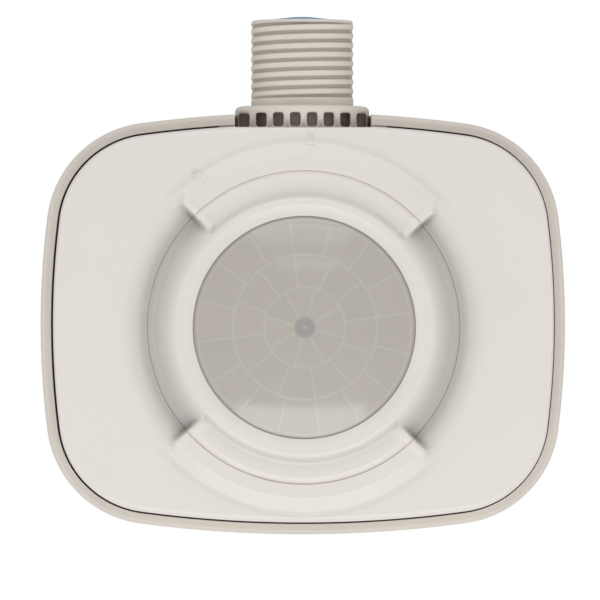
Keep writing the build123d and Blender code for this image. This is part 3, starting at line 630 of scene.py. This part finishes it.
def barrel_rows(angles):
    """The barrel's closed profile: neck, thread, chamfered rim and bore, as rows round the nipple's axis."""

    def row(radius, z):
        z = np.broadcast_to(z, angles.shape)
        return np.stack([radius * np.cos(angles), radius * np.sin(angles), z], -1)

    start = NIPPLE_TOP - RIM_ROUNDING
    rim = thread_radius_at(start, angles)
    line = [(8.0, -0.1), (THREAD_RADIUS - 0.7, -0.1)]
    line += [(thread_radius_at(z, angles), z) for z in np.arange(CUT_HEIGHT, start, 0.115)]
    line += [(rim - back, NIPPLE_TOP - down) for down, back in rounded_edge(RIM_ROUNDING, 6)]
    line += [(BORE_RADIUS + out, NIPPLE_TOP - down) for out, down in rounded_edge(BORE_ROUNDING, 5)]
    line += [(BORE_RADIUS, z) for z in (NIPPLE_TOP - 3.0, NIPPLE_TOP - 10.0, CUT_HEIGHT)]
    return np.array([row(radius, z) for radius, z in line])


def collar_copy():
    """The collar, waist and flange of the nipple's CAD mesh, cut off and closed just above the collar."""
    mesh = frame["nodes"]["conduit_nipple"].data.copy()
    shape = bmesh.new()
    shape.from_mesh(mesh)
    bmesh.ops.remove_doubles(shape, verts=shape.verts, dist=1e-6)
    everything = shape.verts[:] + shape.edges[:] + shape.faces[:]
    bmesh.ops.bisect_plane(
        shape, geom=everything, dist=1e-7, plane_co=(0, 0, CUT_HEIGHT * MM), plane_no=(0, 0, 1),
        clear_outer=True)
    rim = [edge for edge in shape.edges if edge.is_boundary]
    bmesh.ops.bridge_loops(shape, edges=rim)
    shape.to_mesh(mesh)
    shape.free()
    return mesh


# ---- Small raised shapes
# Middle radius, half sizes and rise of the patch that each shape is cut from
SIGN_PATCH = (36.3, 2.1, 1.5, 0.22)
TICK_PATCH = (34.5, 0.6, 0.45, 0.16)
TICK_BOX = (0.45, 0.3, 0.12)
PADLOCK_BOX = (0.65, 0.95, 0.25)
SHACKLE_FOOT = (0.4, -0.5)
SHACKLE_REACH = 0.85
SHACKLE_BOW = 0.5
SHACKLE_HALF_WIDTH = 0.18
RELIEF_STEP = 0.055
RELIEF_ROOT = 0.35
RELIEF_BACK = 0.8
LOCK_MARK = math.radians(88.0)
OPEN_MARK = LOCK_MARK + math.radians(36.6)
SHACKLE_SWING = math.radians(32.0)


def rounded_box_distance(x, y, half_x, half_y, rounding):
    """Signed distance to a rounded rectangle: the distance to its core less the rounding."""
    dx, dy = np.abs(x) - half_x + rounding, np.abs(y) - half_y + rounding
    return np.hypot(np.maximum(dx, 0), np.maximum(dy, 0)) + np.minimum(np.maximum(dx, dy), 0) - rounding


def padlock_distance(x, y, swing):
    """Signed distance to a padlock: its body, and a shackle that turns about its left foot."""
    body = rounded_box_distance(x, y, *PADLOCK_BOX)
    px, py = x - SHACKLE_FOOT[0], y - SHACKLE_FOOT[1]
    turned_x = px * math.cos(swing) + py * math.sin(swing)
    turned_y = py * math.cos(swing) - px * math.sin(swing) - SHACKLE_BOW
    bow = np.hypot(np.maximum(turned_x - SHACKLE_REACH, 0), turned_y)
    middle = np.where(turned_x > SHACKLE_REACH, bow, np.abs(turned_y))
    shackle = np.abs(middle - SHACKLE_BOW) - SHACKLE_HALF_WIDTH
    shackle = np.maximum(shackle, -turned_x)
    return np.minimum(body, shackle)


def relief(distance, sizes, mark, radius, half_x, half_y, rise):
    """A shell raised from the cover inside a shape of signed distance.

    Local x points away from the lens axis at the mark's angle, from the radius on. The face's
    depth is the cover's own depth there less RELIEF_ROOT, plus (rise + RELIEF_ROOT) times a
    smooth step of the distance across 0.22 mm.
    """
    x, y = np.meshgrid(*(np.arange(-half, half, RELIEF_STEP) for half in (half_x, half_y)), indexing="ij")
    out, turn = np.hypot(radius + x, y), mark + np.arctan2(y, radius + x)
    surface = cover_depth(out, turn)
    raised = 1 - smooth_step(-0.16, 0.06, distance(x, y, *sizes))
    top = polar_row(turn, out, surface - RELIEF_ROOT + (rise + RELIEF_ROOT) * raised).reshape(-1, 3)
    under = polar_row(turn, out, surface - RELIEF_BACK).reshape(-1, 3)
    rows, columns = x.shape
    index = np.arange(rows * columns).reshape(rows, columns)
    quads = np.stack([index[:-1, :-1], index[1:, :-1], index[1:, 1:], index[:-1, 1:]], -1).reshape(-1, 4)
    border = np.concatenate([index[0, :-1], index[:-1, -1], index[-1, :0:-1], index[:0:-1, 0]])
    after = np.roll(border, -1)
    count = rows * columns
    sides = np.stack([border, after, after + count, border + count], -1)
    faces = np.concatenate([quads, quads[:, ::-1] + count, sides]).tolist()
    return np.concatenate([top, under]), faces


def tube(centre, outer, inner, low, high):
    """A plain ring-shaped wall round an axis along the depth, closed at both ends."""
    angles = np.linspace(0, 2 * math.pi, TUBE_COLUMNS, endpoint=False)
    line = ((inner, low), (outer, low), (outer, high), (inner, high))
    return revolved(np.array([
        row_at(depth, centre[0] + radius * np.cos(angles), centre[1] + radius * np.sin(angles))
        for radius, depth in line]))


# ---- Finishes
class Finish:
    """A material under construction: adds nodes, links them and sets plain values."""

    def __init__(self, name, **sockets):
        self.material = bpy.data.materials.new(name)
        self.material.use_nodes = True
        self.tree = self.material.node_tree
        self.tree.nodes.clear()
        self.shader = self.add("ShaderNodeBsdfPrincipled", **sockets)
        output = self.add("ShaderNodeOutputMaterial")
        self.tree.links.new(self.shader.outputs[0], output.inputs[0])
        self.place = self.add("ShaderNodeTexCoord").outputs["Object"]

    def add(self, kind, settings=(), **sockets):
        """A new node with its settings and sockets; an underscore in a socket's key is a space."""
        node = self.tree.nodes.new(kind)
        for key, value in dict(settings).items():
            setattr(node, key, value)
        for key, value in sockets.items():
            self.put(node, key.replace("_", " "), value)
        return node

    def put(self, node, key, value):
        """Links another node's socket, or sets a plain value."""
        socket = node.inputs[key]
        if isinstance(value, bpy.types.NodeSocket):
            self.tree.links.new(value, socket)
        else:
            socket.default_value = value

    def stored(self, name):
        """A value kept on the mesh's points."""
        return self.add("ShaderNodeAttribute", {"attribute_name": name}).outputs["Fac"]

    def turned(self, rotation):
        """Object coordinates turned by three angles."""
        return self.add("ShaderNodeMapping", Vector=self.place, Rotation=rotation).outputs[0]

    def noise(self, size, detail=3.0, stretch=(1, 1, 1), seed=0.0):
        """Soft noise whose lumps are about size millimetres across, from 0 to 1."""
        place = self.add("ShaderNodeMapping", Vector=self.place, Scale=stretch, Location=(seed, seed, seed))
        texture = self.add("ShaderNodeTexNoise", Vector=place.outputs[0], Scale=1000.0 / size, Detail=detail)
        return texture.outputs[0]

    def ranged(self, value, low, high, start=0.3, end=0.7):
        """Carries a value from start..end to low..high, clamped."""
        node = self.add(
            "ShaderNodeMapRange", Value=value, From_Min=start, From_Max=end, To_Min=low, To_Max=high)
        return node.outputs[0]

    def mixed(self, share, first, second, blend="MIX"):
        """A colour between two colours; each may be a plain colour or a socket."""
        node = self.add("ShaderNodeMix", {"data_type": "RGBA", "blend_type": blend})
        for index, value in ((0, share), (6, first), (7, second)):
            plain = isinstance(value, (float, bpy.types.NodeSocket))
            self.put(node, index, value if plain else (*value, 1.0))
        return node.outputs[2]

    def maths(self, operation, first, second=0.0):
        """The result of one arithmetic step on numbers or sockets."""
        node = self.add("ShaderNodeMath", {"operation": operation})
        self.put(node, 0, first)
        self.put(node, 1, second)
        return node.outputs[0]

    def bump(self, height, depth, strength=1.0, under=None):
        """Bumps of the given depth in millimetres, on top of an earlier bump if there is one."""
        node = self.add("ShaderNodeBump", Strength=strength, Distance=depth * MM, Height=height)
        if under:
            self.put(node, "Normal", under)
        return node.outputs[0]

    def close(self, colour, roughness, normal=None):
        """Gives the shader its colour, roughness and normal, and hands back the material."""
        self.put(self.shader, "Base Color", colour)
        self.put(self.shader, "Roughness", roughness)
        if normal:
            self.put(self.shader, "Normal", normal)
        return self.material


def tinted(colour, factor):
    """A colour times a factor, no channel above 1."""
    return tuple(min(1.0, channel * factor) for channel in colour)


def moulded(name, colour, roughness, grain, grain_depth, flow=0.03, speck=0.1, painted_crevice_shade=0.0, hollow=0.0):
    """Moulded plastic: flow mottling, specks, fine tool grain, slow waviness and uneven gloss.

    Painted crevice shade, from ambient occlusion, darkens whatever lies close to other surfaces; painted shade
    also darkens by the mesh's own attribute.
    """
    finish = Finish(name)
    slow = finish.noise(17.0, 2.0, (1, 1, 0.6))
    fine = finish.noise(2.6, 4.0, seed=0.3)
    dull, bright = tinted(colour, 1 - flow), tinted(colour, 1 + flow * 0.6)
    body = finish.mixed(finish.ranged(slow, 0.0, 1.0), dull, bright)
    specks = finish.noise(0.45, 2.0, seed=0.7)
    body = finish.mixed(finish.ranged(specks, 0.0, speck, 0.62, 0.80), body, tinted(colour, 0.72))
    if painted_crevice_shade:
        # Painted crevice shade: ambient occlusion darkens the colour where other surfaces lie close
        near = finish.add("ShaderNodeAmbientOcclusion", {"samples": 16}, Distance=3.0 * MM)
        crevice_shade = finish.ranged(near.outputs["AO"], painted_crevice_shade, 0.0, 0.3, 0.9)
        body = finish.mixed(crevice_shade, body, tinted(colour, 0.45))
    if hollow:
        # Painted shade: the mesh's stored share darkens the colour in recesses and valleys
        share = finish.maths("MULTIPLY", finish.stored("hollow"), hollow)
        body = finish.mixed(share, body, tinted(colour, 0.45))
    gloss = finish.ranged(fine, roughness * 0.92, roughness * 1.1)
    wave = finish.bump(slow, 0.05, 0.4)
    bumps = finish.bump(finish.noise(grain, 3.0), grain_depth, 0.6, wave)
    return finish.close(body, gloss, bumps)


def metal(name, colour, roughness, stretch=(1, 1, 1)):
    """Plated metal: fine brushing along one direction, dull patches and tiny pits."""
    finish = Finish(name, Metallic=1.0)
    brush = finish.noise(0.35, 2.0, stretch)
    patch = finish.noise(1.7, 4.0, seed=0.4)
    body = finish.mixed(finish.ranged(patch, 0.0, 1.0), tinted(colour, 0.86), colour)
    gloss = finish.ranged(patch, roughness - 0.06, roughness + 0.1)
    return finish.close(body, gloss, finish.bump(brush, 0.01, 0.5))


def lens_finish(name):
    """Milky lens: faint lighter facet borders, a slightly different tone per facet, curved grooves."""
    colour = tuple(bpy.context.scene.sensor_lens.colour)
    finish = Finish(name, IOR=1.5, Coat_Weight=0.25, Coat_Roughness=0.12)
    border, facet, optical, centre = (
        finish.stored(field) for field in ("border", "facet", "optical", "centre"))
    tone = finish.add("ShaderNodeTexWhiteNoise", {"noise_dimensions": "1D"}, W=facet).outputs[0]
    body = finish.mixed(finish.ranged(tone, 0.0, 1.0, 0.0, 1.0), tinted(colour, 0.97), tinted(colour, 1.02))
    cloud = finish.noise(6.0, 3.0)
    body = finish.mixed(finish.ranged(cloud, 0.0, 0.5), body, tinted(colour, 0.97))
    body = finish.mixed(finish.maths("MULTIPLY", border, 0.7), body, (0.57, 0.545, 0.51))
    body = finish.mixed(finish.maths("MULTIPLY", centre, 0.9), body, (0.37, 0.345, 0.34))
    groove = finish.maths("SINE", finish.maths("MULTIPLY", optical, 2 * math.pi / 0.55))
    bumps = finish.bump(groove, 0.004, 0.25)
    bumps = finish.bump(finish.noise(5.0, 2.0, (0.4, 1, 2.2)), 0.012, 0.3, bumps)
    return finish.close(body, finish.ranged(cloud, 0.07, 0.11), bumps)


def laminate(name, colour, copper):
    """Circuit board: solder mask over tracks that bend at right angles, glass weave and drilled pads."""
    finish = Finish(name)
    place = finish.turned((math.pi / 2, 0, 0))
    tracks = finish.add("ShaderNodeTexBrick", Vector=place, Scale=1000.0 / 7.0, Mortar_Size=0.055,
                        Mortar_Smooth=0.3, Brick_Width=0.9, Row_Height=0.27).outputs["Fac"]
    weave = finish.noise(0.5, 1.0, (1, 1, 3))
    cell = finish.add("ShaderNodeTexVoronoi", {"voronoi_dimensions": "2D"}, Vector=place,
                      Scale=1000.0 / 2.8, Randomness=0.5)
    pads = finish.ranged(cell.outputs["Distance"], 1.0, 0.0, 0.13, 0.17)
    body = finish.mixed(finish.maths("MULTIPLY", tracks, 0.55), colour, tinted(colour, 1.9))
    body = finish.mixed(finish.maths("MULTIPLY", pads, 0.8), body, copper)
    body = finish.mixed(finish.ranged(weave, 0.0, 0.25), body, tinted(colour, 0.7))
    return finish.close(body, finish.ranged(weave, 0.22, 0.36), finish.bump(tracks, 0.035, 0.8))


def wave_scale(reach):
    """Scale of a wave texture, 20 radians to a unit, that repeats every 2 pi times reach millimetres."""
    return 1000.0 / reach / 20.0


def banded(name, colour, mark, reach, width, roughness, turn=(0, 0, 0)):
    """Wrapped or striped skin: repeating narrow bands of a second tone, with worn edges."""
    finish = Finish(name)
    wave = finish.add("ShaderNodeTexWave", {"wave_profile": "TRI"}, Vector=finish.turned(turn),
                      Scale=wave_scale(reach), Distortion=0.4)
    band = finish.ranged(wave.outputs["Fac"], 0.0, 1.0, 1.0 - width, 1.0 - width * 0.6)
    mottle = finish.noise(1.4, 3.0)
    body = finish.mixed(band, colour, mark)
    body = finish.mixed(finish.ranged(mottle, 0.0, 0.3), body, tinted(colour, 0.75))
    bumps = finish.bump(wave.outputs["Fac"], 0.05, 0.6)
    return finish.close(body, finish.ranged(mottle, roughness - 0.06, roughness + 0.08), bumps)


def grainy(name, colour, second, size, roughness, depth=0.05):
    """Cast, fired or foamed stuff: two-toned grains with pits."""
    finish = Finish(name)
    cell = finish.add("ShaderNodeTexVoronoi", Vector=finish.place, Scale=1000.0 / size)
    grains = finish.noise(size * 1.6, 4.0)
    body = finish.mixed(finish.ranged(grains, 0.0, 1.0), colour, second)
    bumps = finish.bump(cell.outputs["Distance"], depth, 0.7)
    return finish.close(body, finish.ranged(grains, roughness - 0.07, roughness + 0.09), bumps)


def resin(name, colour, roughness, sockets):
    """Clear or tinted resin with faint depth clouds."""
    finish = Finish(name, **sockets)
    cloud = finish.noise(1.2, 3.0)
    body = finish.mixed(finish.ranged(cloud, 0.0, 1.0), tinted(colour, 0.85), tinted(colour, 1.1))
    gloss = finish.ranged(cloud, roughness, roughness + 0.08)
    return finish.close(body, gloss, finish.bump(cloud, 0.02, 0.3))


def photocell(name):
    """Light cell: a cadmium track that snakes across a ceramic face, under clear resin."""
    finish = Finish(name, Coat_Weight=1.0, Coat_Roughness=0.06)
    wave = finish.add("ShaderNodeTexWave", {"wave_profile": "SIN"}, Scale=wave_scale(0.3),
                      Vector=finish.turned((math.pi / 2, 0, 0)), Distortion=1.6, Detail=0.0)
    track = finish.ranged(wave.outputs["Fac"], 0.0, 1.0, 0.45, 0.6)
    body = finish.mixed(track, (0.72, 0.66, 0.5), (0.55, 0.12, 0.03))
    return finish.close(body, 0.35, finish.bump(track, 0.03, 0.6))


def finish_of(slot):
    """The material of a slot, built once and named after the slot."""
    name = slot + "_finish"
    if name in bpy.data.materials:
        return bpy.data.materials[name]
    scene = bpy.context.scene
    shell, white = tuple(scene.sensor_housing.colour), tuple(scene.sensor_cover.colour)
    recipes = {
        # Colour, roughness, grain size and depth (mm), flow, specks, painted crevice shade, painted hollow shade
        "housing_plastic": (moulded, shell, 0.42, 0.35, 0.02, 0.03, 0.05),
        # The nipple's thread grooves are darkened with painted crevice shade
        "nipple_plastic": (moulded, tinted(shell, 1.02), 0.38, 0.3, 0.014, 0.03, 0.05, 0.5),
        # The cover and the ring are darkened in their recesses, valley and boss foot with painted shade
        "cover_plastic": (moulded, white, 0.24, 1.4, 0.0012, 0.01, 0.0, 0.0, 0.72),
        "ring_plastic": (moulded, tinted(white, 1.005), 0.24, 1.4, 0.0012, 0.01, 0.0, 0.0, 0.72),
        "spacer_nylon": (moulded, (0.72, 0.70, 0.62), 0.4, 0.5, 0.015, 0.05),
        "connector_plastic": (moulded, (0.022, 0.022, 0.024), 0.42, 0.25, 0.012, 0.2),
        "dip_plastic": (moulded, (0.42, 0.02, 0.018), 0.3, 0.3, 0.01, 0.08),
        "white_plastic": (moulded, (0.78, 0.78, 0.75), 0.3, 0.3, 0.008, 0.03),
        "trimmer_plastic": (moulded, (0.02, 0.10, 0.42), 0.3, 0.3, 0.01, 0.08),
        "button_plastic": (moulded, (0.035, 0.035, 0.037), 0.38, 0.25, 0.012, 0.15),
        "relay_plastic": (moulded, (0.02, 0.02, 0.023), 0.28, 0.4, 0.008, 0.15),
        "terminal_plastic": (moulded, (0.03, 0.22, 0.07), 0.38, 0.35, 0.012, 0.08),
        "seal_rubber": (moulded, (0.16, 0.36, 0.62), 0.5, 0.35, 0.02, 0.06),
        # Colours, then sizes (mm), shares and roughness in the order that each function takes
        "lens_plastic": (lens_finish,),
        "gasket_rubber": (grainy, (0.012, 0.012, 0.012), (0.03, 0.03, 0.03), 0.3, 0.75, 0.06),
        "screw_steel": (metal, (0.62, 0.61, 0.58), 0.3, (1, 6, 1)),
        "can_metal": (metal, (0.70, 0.66, 0.58), 0.18, (1, 8, 1)),
        "lead_metal": (metal, (0.72, 0.70, 0.64), 0.28, (3, 1, 3)),
        "board_laminate": (laminate, (0.012, 0.10, 0.035), (0.75, 0.42, 0.16)),
        "filter_window": (resin, (0.035, 0.025, 0.035), 0.05, {"Coat_Weight": 0.6, "Coat_Roughness": 0.03}),
        "led_resin": (resin, (0.62, 0.03, 0.02), 0.12, {"Transmission_Weight": 0.35}),
        "photocell": (photocell,),
        "chip_epoxy": (grainy, (0.02, 0.02, 0.022), (0.035, 0.035, 0.037), 0.22, 0.55, 0.02),
        "chip_ceramic": (grainy, (0.42, 0.27, 0.15), (0.52, 0.36, 0.22), 0.3, 0.45, 0.02),
        "core_steel": (banded, (0.10, 0.09, 0.09), (0.02, 0.018, 0.017), 0.5, 0.3, 0.4),
        "winding_tape": (
            banded, (0.72, 0.45, 0.05), (0.42, 0.22, 0.03), 3.0, 0.18, 0.25, (0, math.pi / 2, 0)),
        "capacitor_sleeve": (
            banded, (0.015, 0.018, 0.045), (0.52, 0.52, 0.5), 26.0, 0.16, 0.25, (0, 0, math.pi / 2)),
        "varistor_epoxy": (grainy, (0.02, 0.07, 0.34), (0.04, 0.12, 0.45), 0.7, 0.3, 0.04),
        "fuse_ceramic": (grainy, (0.66, 0.62, 0.54), (0.74, 0.71, 0.64), 0.4, 0.35, 0.02),
    }
    maker, *values = recipes[slot]
    return maker(name, *values)


# ---- Studio
# Each light: name, distance, turn and rise in degrees as seen from the lens, width, height, brightness
LIGHTS = (
    ("light_table", 0.6, 0.0, -31.8, 0.44, 0.13, 2.6),
    ("light_low", 0.3, 0.0, -46.0, 0.3, 0.08, 0.8),
    ("light_ceiling", 1.3, 0.0, 66.0, 1.6, 1.2, 1.05),
    ("light_left", 0.95, -62.0, 4.0, 0.8, 0.8, 0.85),
    ("light_right", 0.95, 62.0, 4.0, 0.8, 0.8, 0.8),
    ("light_strip_low", 0.9, 3.0, 20.0, 0.30, 0.06, 1.0),
    ("light_strip_middle", 0.9, 1.0, 27.7, 0.44, 0.028, 1.5),
    ("light_strip_high", 0.9, 0.0, 32.2, 0.52, 0.075, 1.8),
)
SURROUNDINGS_GLOW = 0.37
VIEW_YAW = math.radians(1.4)
CAMERA_AIM = (-0.00064, -0.009, 0.00535)
CAMERA_LENS = 305.0
FLOOR_GLOW = 0.12
FLOOR_HALF = 4.0
FLOOR_DROP = 0.32


# ---- Operators
class SENSOR_OT_cover(bpy.types.Operator):
    """Builds the crowned cover with its boss, recesses, ticks, padlock signs and screw bosses"""

    bl_idname = "sensor.cover"
    bl_label = "Cover"

    def execute(self, context):
        angles = cover_angles()
        shells = [revolved(cover_rows(angles))]
        for mark, swing in ((LOCK_MARK, 0.0), (OPEN_MARK, SHACKLE_SWING)):
            shells.append(relief(rounded_box_distance, TICK_BOX, mark, *TICK_PATCH))
            shells.append(relief(padlock_distance, (swing,), mark, *SIGN_PATCH))
        low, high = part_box("housing_screws")
        boss_x, boss_z = high.x / MM - SCREW_HEAD_RADIUS, (high.z - low.z) / 2 / MM - SCREW_HEAD_RADIUS
        middle = (high.z + low.z) / 2 / MM
        for x in (-boss_x, boss_x):
            for z in (-boss_z, boss_z):
                shells.append(tube((x, middle + z), *SCREW_BOSS))
        piece = mesh_object("cover", shells, "housing", "cover_plastic")
        # Painted shade for the recesses, valley and boss foot goes onto the points
        mark_painted_shades(piece.data)
        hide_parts("front_cover")
        return {"FINISHED"}


class SENSOR_OT_ring(bpy.types.Operator):
    """Builds the twist-off lens ring with its crest, finger scoops, skirt and lugs"""

    bl_idname = "sensor.ring"
    bl_label = "Lens ring"

    def execute(self, context):
        edges = wall_angles()
        for lug in LUG_ANGLES:
            edges += [math.radians(lug - LUG_HALF_ANGLE) % (2 * math.pi), math.radians(lug + LUG_HALF_ANGLE)]
        angles = crowded_angles(RING_COLUMNS, edges)
        piece = mesh_object("ring", [revolved(ring_rows(angles))], "lens_ring", "ring_plastic")
        # Painted shade for the scoops and valley goes onto the points
        mark_painted_shades(piece.data)
        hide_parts("lens_ring")
        return {"FINISHED"}


class SENSOR_OT_lens(bpy.types.Operator):
    """Builds the segmented dome lens with its facet borders"""

    bl_idname = "sensor.lens"
    bl_label = "Lens"

    def execute(self, context):
        piece = mesh_object("lens", [lens_shape()], "lens_ring", "lens_plastic")
        mark_facets(piece.data)
        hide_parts("fresnel_lens")
        return {"FINISHED"}


def polar_points(mesh):
    """Radius and angle round the lens axis, and depth, of each point of a mesh, in millimetres."""
    points = np.empty(len(mesh.vertices) * 3, np.float32)
    mesh.vertices.foreach_get("co", points)
    points = points.reshape(-1, 3) / MM
    x, z = points[:, 0], points[:, 2] - LENS_Z
    return np.hypot(x, z), np.arctan2(z, x), -points[:, 1]


def store_fields(mesh, front, **fields):
    """Keeps named values on a mesh's points, 0 where they don't lie on the front side."""
    for name, field in fields.items():
        values = np.where(front, field, 0.0).astype(np.float32)
        mesh.attributes.new(name, "FLOAT", "POINT").data.foreach_set("value", values)


def mark_painted_shades(mesh):
    """Stores how far painted shade darkens each point of the outer face."""
    radius, angles, depth = polar_points(mesh)
    store_fields(mesh, depth > RING_BACK_DEPTH + 0.3, hollow=painted_shade_share(radius, angles))


def mark_facets(mesh):
    """Stores border, facet, optical and centre values on the lens's points."""
    radius, angles, depth = polar_points(mesh)
    border, number, optical = facet_fields(radius, angles)
    front = depth > dome_depth(np.minimum(radius, LENS_RADIUS)) - 0.3
    centre = (1 - smooth_step(1.85, 2.1, radius)) * smooth_step(0.12, 0.42, radius)
    store_fields(mesh, front, border=border, facet=number, optical=optical, centre=centre)


class SENSOR_OT_nipple(bpy.types.Operator):
    """Builds the threaded conduit nipple and its cored collar"""

    bl_idname = "sensor.nipple"
    bl_label = "Conduit nipple"

    def execute(self, context):
        angles = np.linspace(0, 2 * math.pi, NIPPLE_COLUMNS, endpoint=False)
        barrel = revolved(barrel_rows(angles))
        piece = mesh_object("nipple", [barrel], "housing", "nipple_plastic", collar_copy())
        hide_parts("conduit_nipple")
        return {"FINISHED"}


class SENSOR_OT_finishes(bpy.types.Operator):
    """Gives every part that keeps its CAD shape its finish"""

    bl_idname = "sensor.finishes"
    bl_label = "Finishes of the other parts"

    def execute(self, context):
        for subpart in frame["record"]["subparts"]:
            node = frame["nodes"][subpart["node"]]
            for place in node.material_slots:
                place.material = finish_of(subpart["material_slot"])
        return {"FINISHED"}


class SENSOR_OT_studio(bpy.types.Operator):
    """Adds the pale floor, the soft lights, the white surroundings and the camera"""

    bl_idname = "sensor.studio"
    bl_label = "Studio"

    def execute(self, context):
        scene = context.scene
        floor_mesh = bpy.data.meshes.new("floor")
        half, level = FLOOR_HALF, rear_low.z * MM - FLOOR_DROP
        corners = [(-half, -half, level), (half, -half, level), (half, half, level), (-half, half, level)]
        floor_mesh.from_pydata(corners, [], [(0, 1, 2, 3)])
        pale = Finish("floor_paper", Emission_Color=(1, 1, 1, 1), Emission_Strength=FLOOR_GLOW)
        fibre = pale.noise(60.0, 3.0)
        floor_mesh.materials.append(pale.close(
            pale.mixed(pale.ranged(fibre, 0.0, 1.0), (0.9, 0.9, 0.9), (0.93, 0.93, 0.93)), 0.8))
        placed("floor", floor_mesh)
        aim = Vector((0, 0, LENS_Z * MM))
        for name, reach, *degrees, width, height, glow in LIGHTS:
            turn, rise = map(math.radians, degrees)
            away = Vector((math.sin(turn) * math.cos(rise), -math.cos(turn) * math.cos(rise), math.sin(rise)))
            data = bpy.data.lights.new(name, "AREA")
            data.shape, data.size, data.size_y = "RECTANGLE", width, height
            data.energy = glow * math.pi * width * height
            light = placed(name, data)
            light.location = aim + reach * away
            light.rotation_euler = (-away).to_track_quat("-Z", "Y").to_euler()
            light.visible_camera = False
        world = bpy.data.worlds.new("surroundings")
        world.use_nodes = True
        tree = world.node_tree
        tree.nodes.clear()
        output, mix, path = (
            tree.nodes.new("ShaderNode" + kind) for kind in ("OutputWorld", "MixShader", "LightPath"))
        for index, strength in ((1, SURROUNDINGS_GLOW), (2, 1.0)):
            background = tree.nodes.new("ShaderNodeBackground")
            background.inputs["Color"].default_value = (1, 1, 1, 1)
            background.inputs["Strength"].default_value = strength
            tree.links.new(background.outputs[0], mix.inputs[index])
        tree.links.new(path.outputs["Is Camera Ray"], mix.inputs[0])
        tree.links.new(mix.outputs[0], output.inputs[0])
        scene.world = world
        camera_data = bpy.data.cameras.new("camera")
        camera_data.lens = CAMERA_LENS
        camera_data.sensor_width = 36.0
        camera_data.clip_end = 20.0
        camera = placed("camera", camera_data)
        target = Vector(CAMERA_AIM) + Vector((0, 0, LENS_Z * MM))
        camera.location = target + Vector((-math.sin(VIEW_YAW), -math.cos(VIEW_YAW), 0.0))
        view = target - camera.location
        camera.rotation_euler = view.to_track_quat("-Z", "Y").to_euler()
        scene.camera = camera
        scene.view_settings.view_transform = "Standard"
        return {"FINISHED"}


class SENSOR_PT_panel(bpy.types.Panel):
    """Lists the sizes, the colours and the operators"""

    bl_label = "Motion sensor"
    bl_idname = "SENSOR_PT_panel"
    bl_space_type = "VIEW_3D"
    bl_region_type = "UI"
    bl_category = "Sensor"

    def draw(self, context):
        for group in (getattr(context.scene, name) for name in GROUPS):
            box = self.layout.box()
            for name in group.__annotations__:
                box.prop(group, name)
        for operator in OPERATORS:
            self.layout.operator(operator.bl_idname)


GROUPS = {"sensor_housing": HousingProps, "sensor_cover": CoverProps, "sensor_lens": LensProps,
          "sensor_thread": ThreadProps}
OPERATORS = (SENSOR_OT_studio, SENSOR_OT_finishes, SENSOR_OT_cover, SENSOR_OT_ring, SENSOR_OT_lens,
             SENSOR_OT_nipple)


def register():
    """Registers the classes and hangs each property group on the scene."""
    for entry in (*GROUPS.values(), *OPERATORS, SENSOR_PT_panel):
        bpy.utils.register_class(entry)
    for name, group in GROUPS.items():
        setattr(bpy.types.Scene, name, PointerProperty(type=group))


def unregister():
    """Undoes what register does."""
    for name in GROUPS:
        delattr(bpy.types.Scene, name)
    for entry in (SENSOR_PT_panel, *reversed(OPERATORS), *reversed(GROUPS.values())):
        bpy.utils.unregister_class(entry)


def main():
    """Builds everything in order."""
    register()
    bpy.ops.sensor.studio()
    bpy.ops.sensor.finishes()
    bpy.ops.sensor.cover()
    bpy.ops.sensor.ring()
    bpy.ops.sensor.lens()
    bpy.ops.sensor.nipple()


if __name__ == "__main__":
    main()
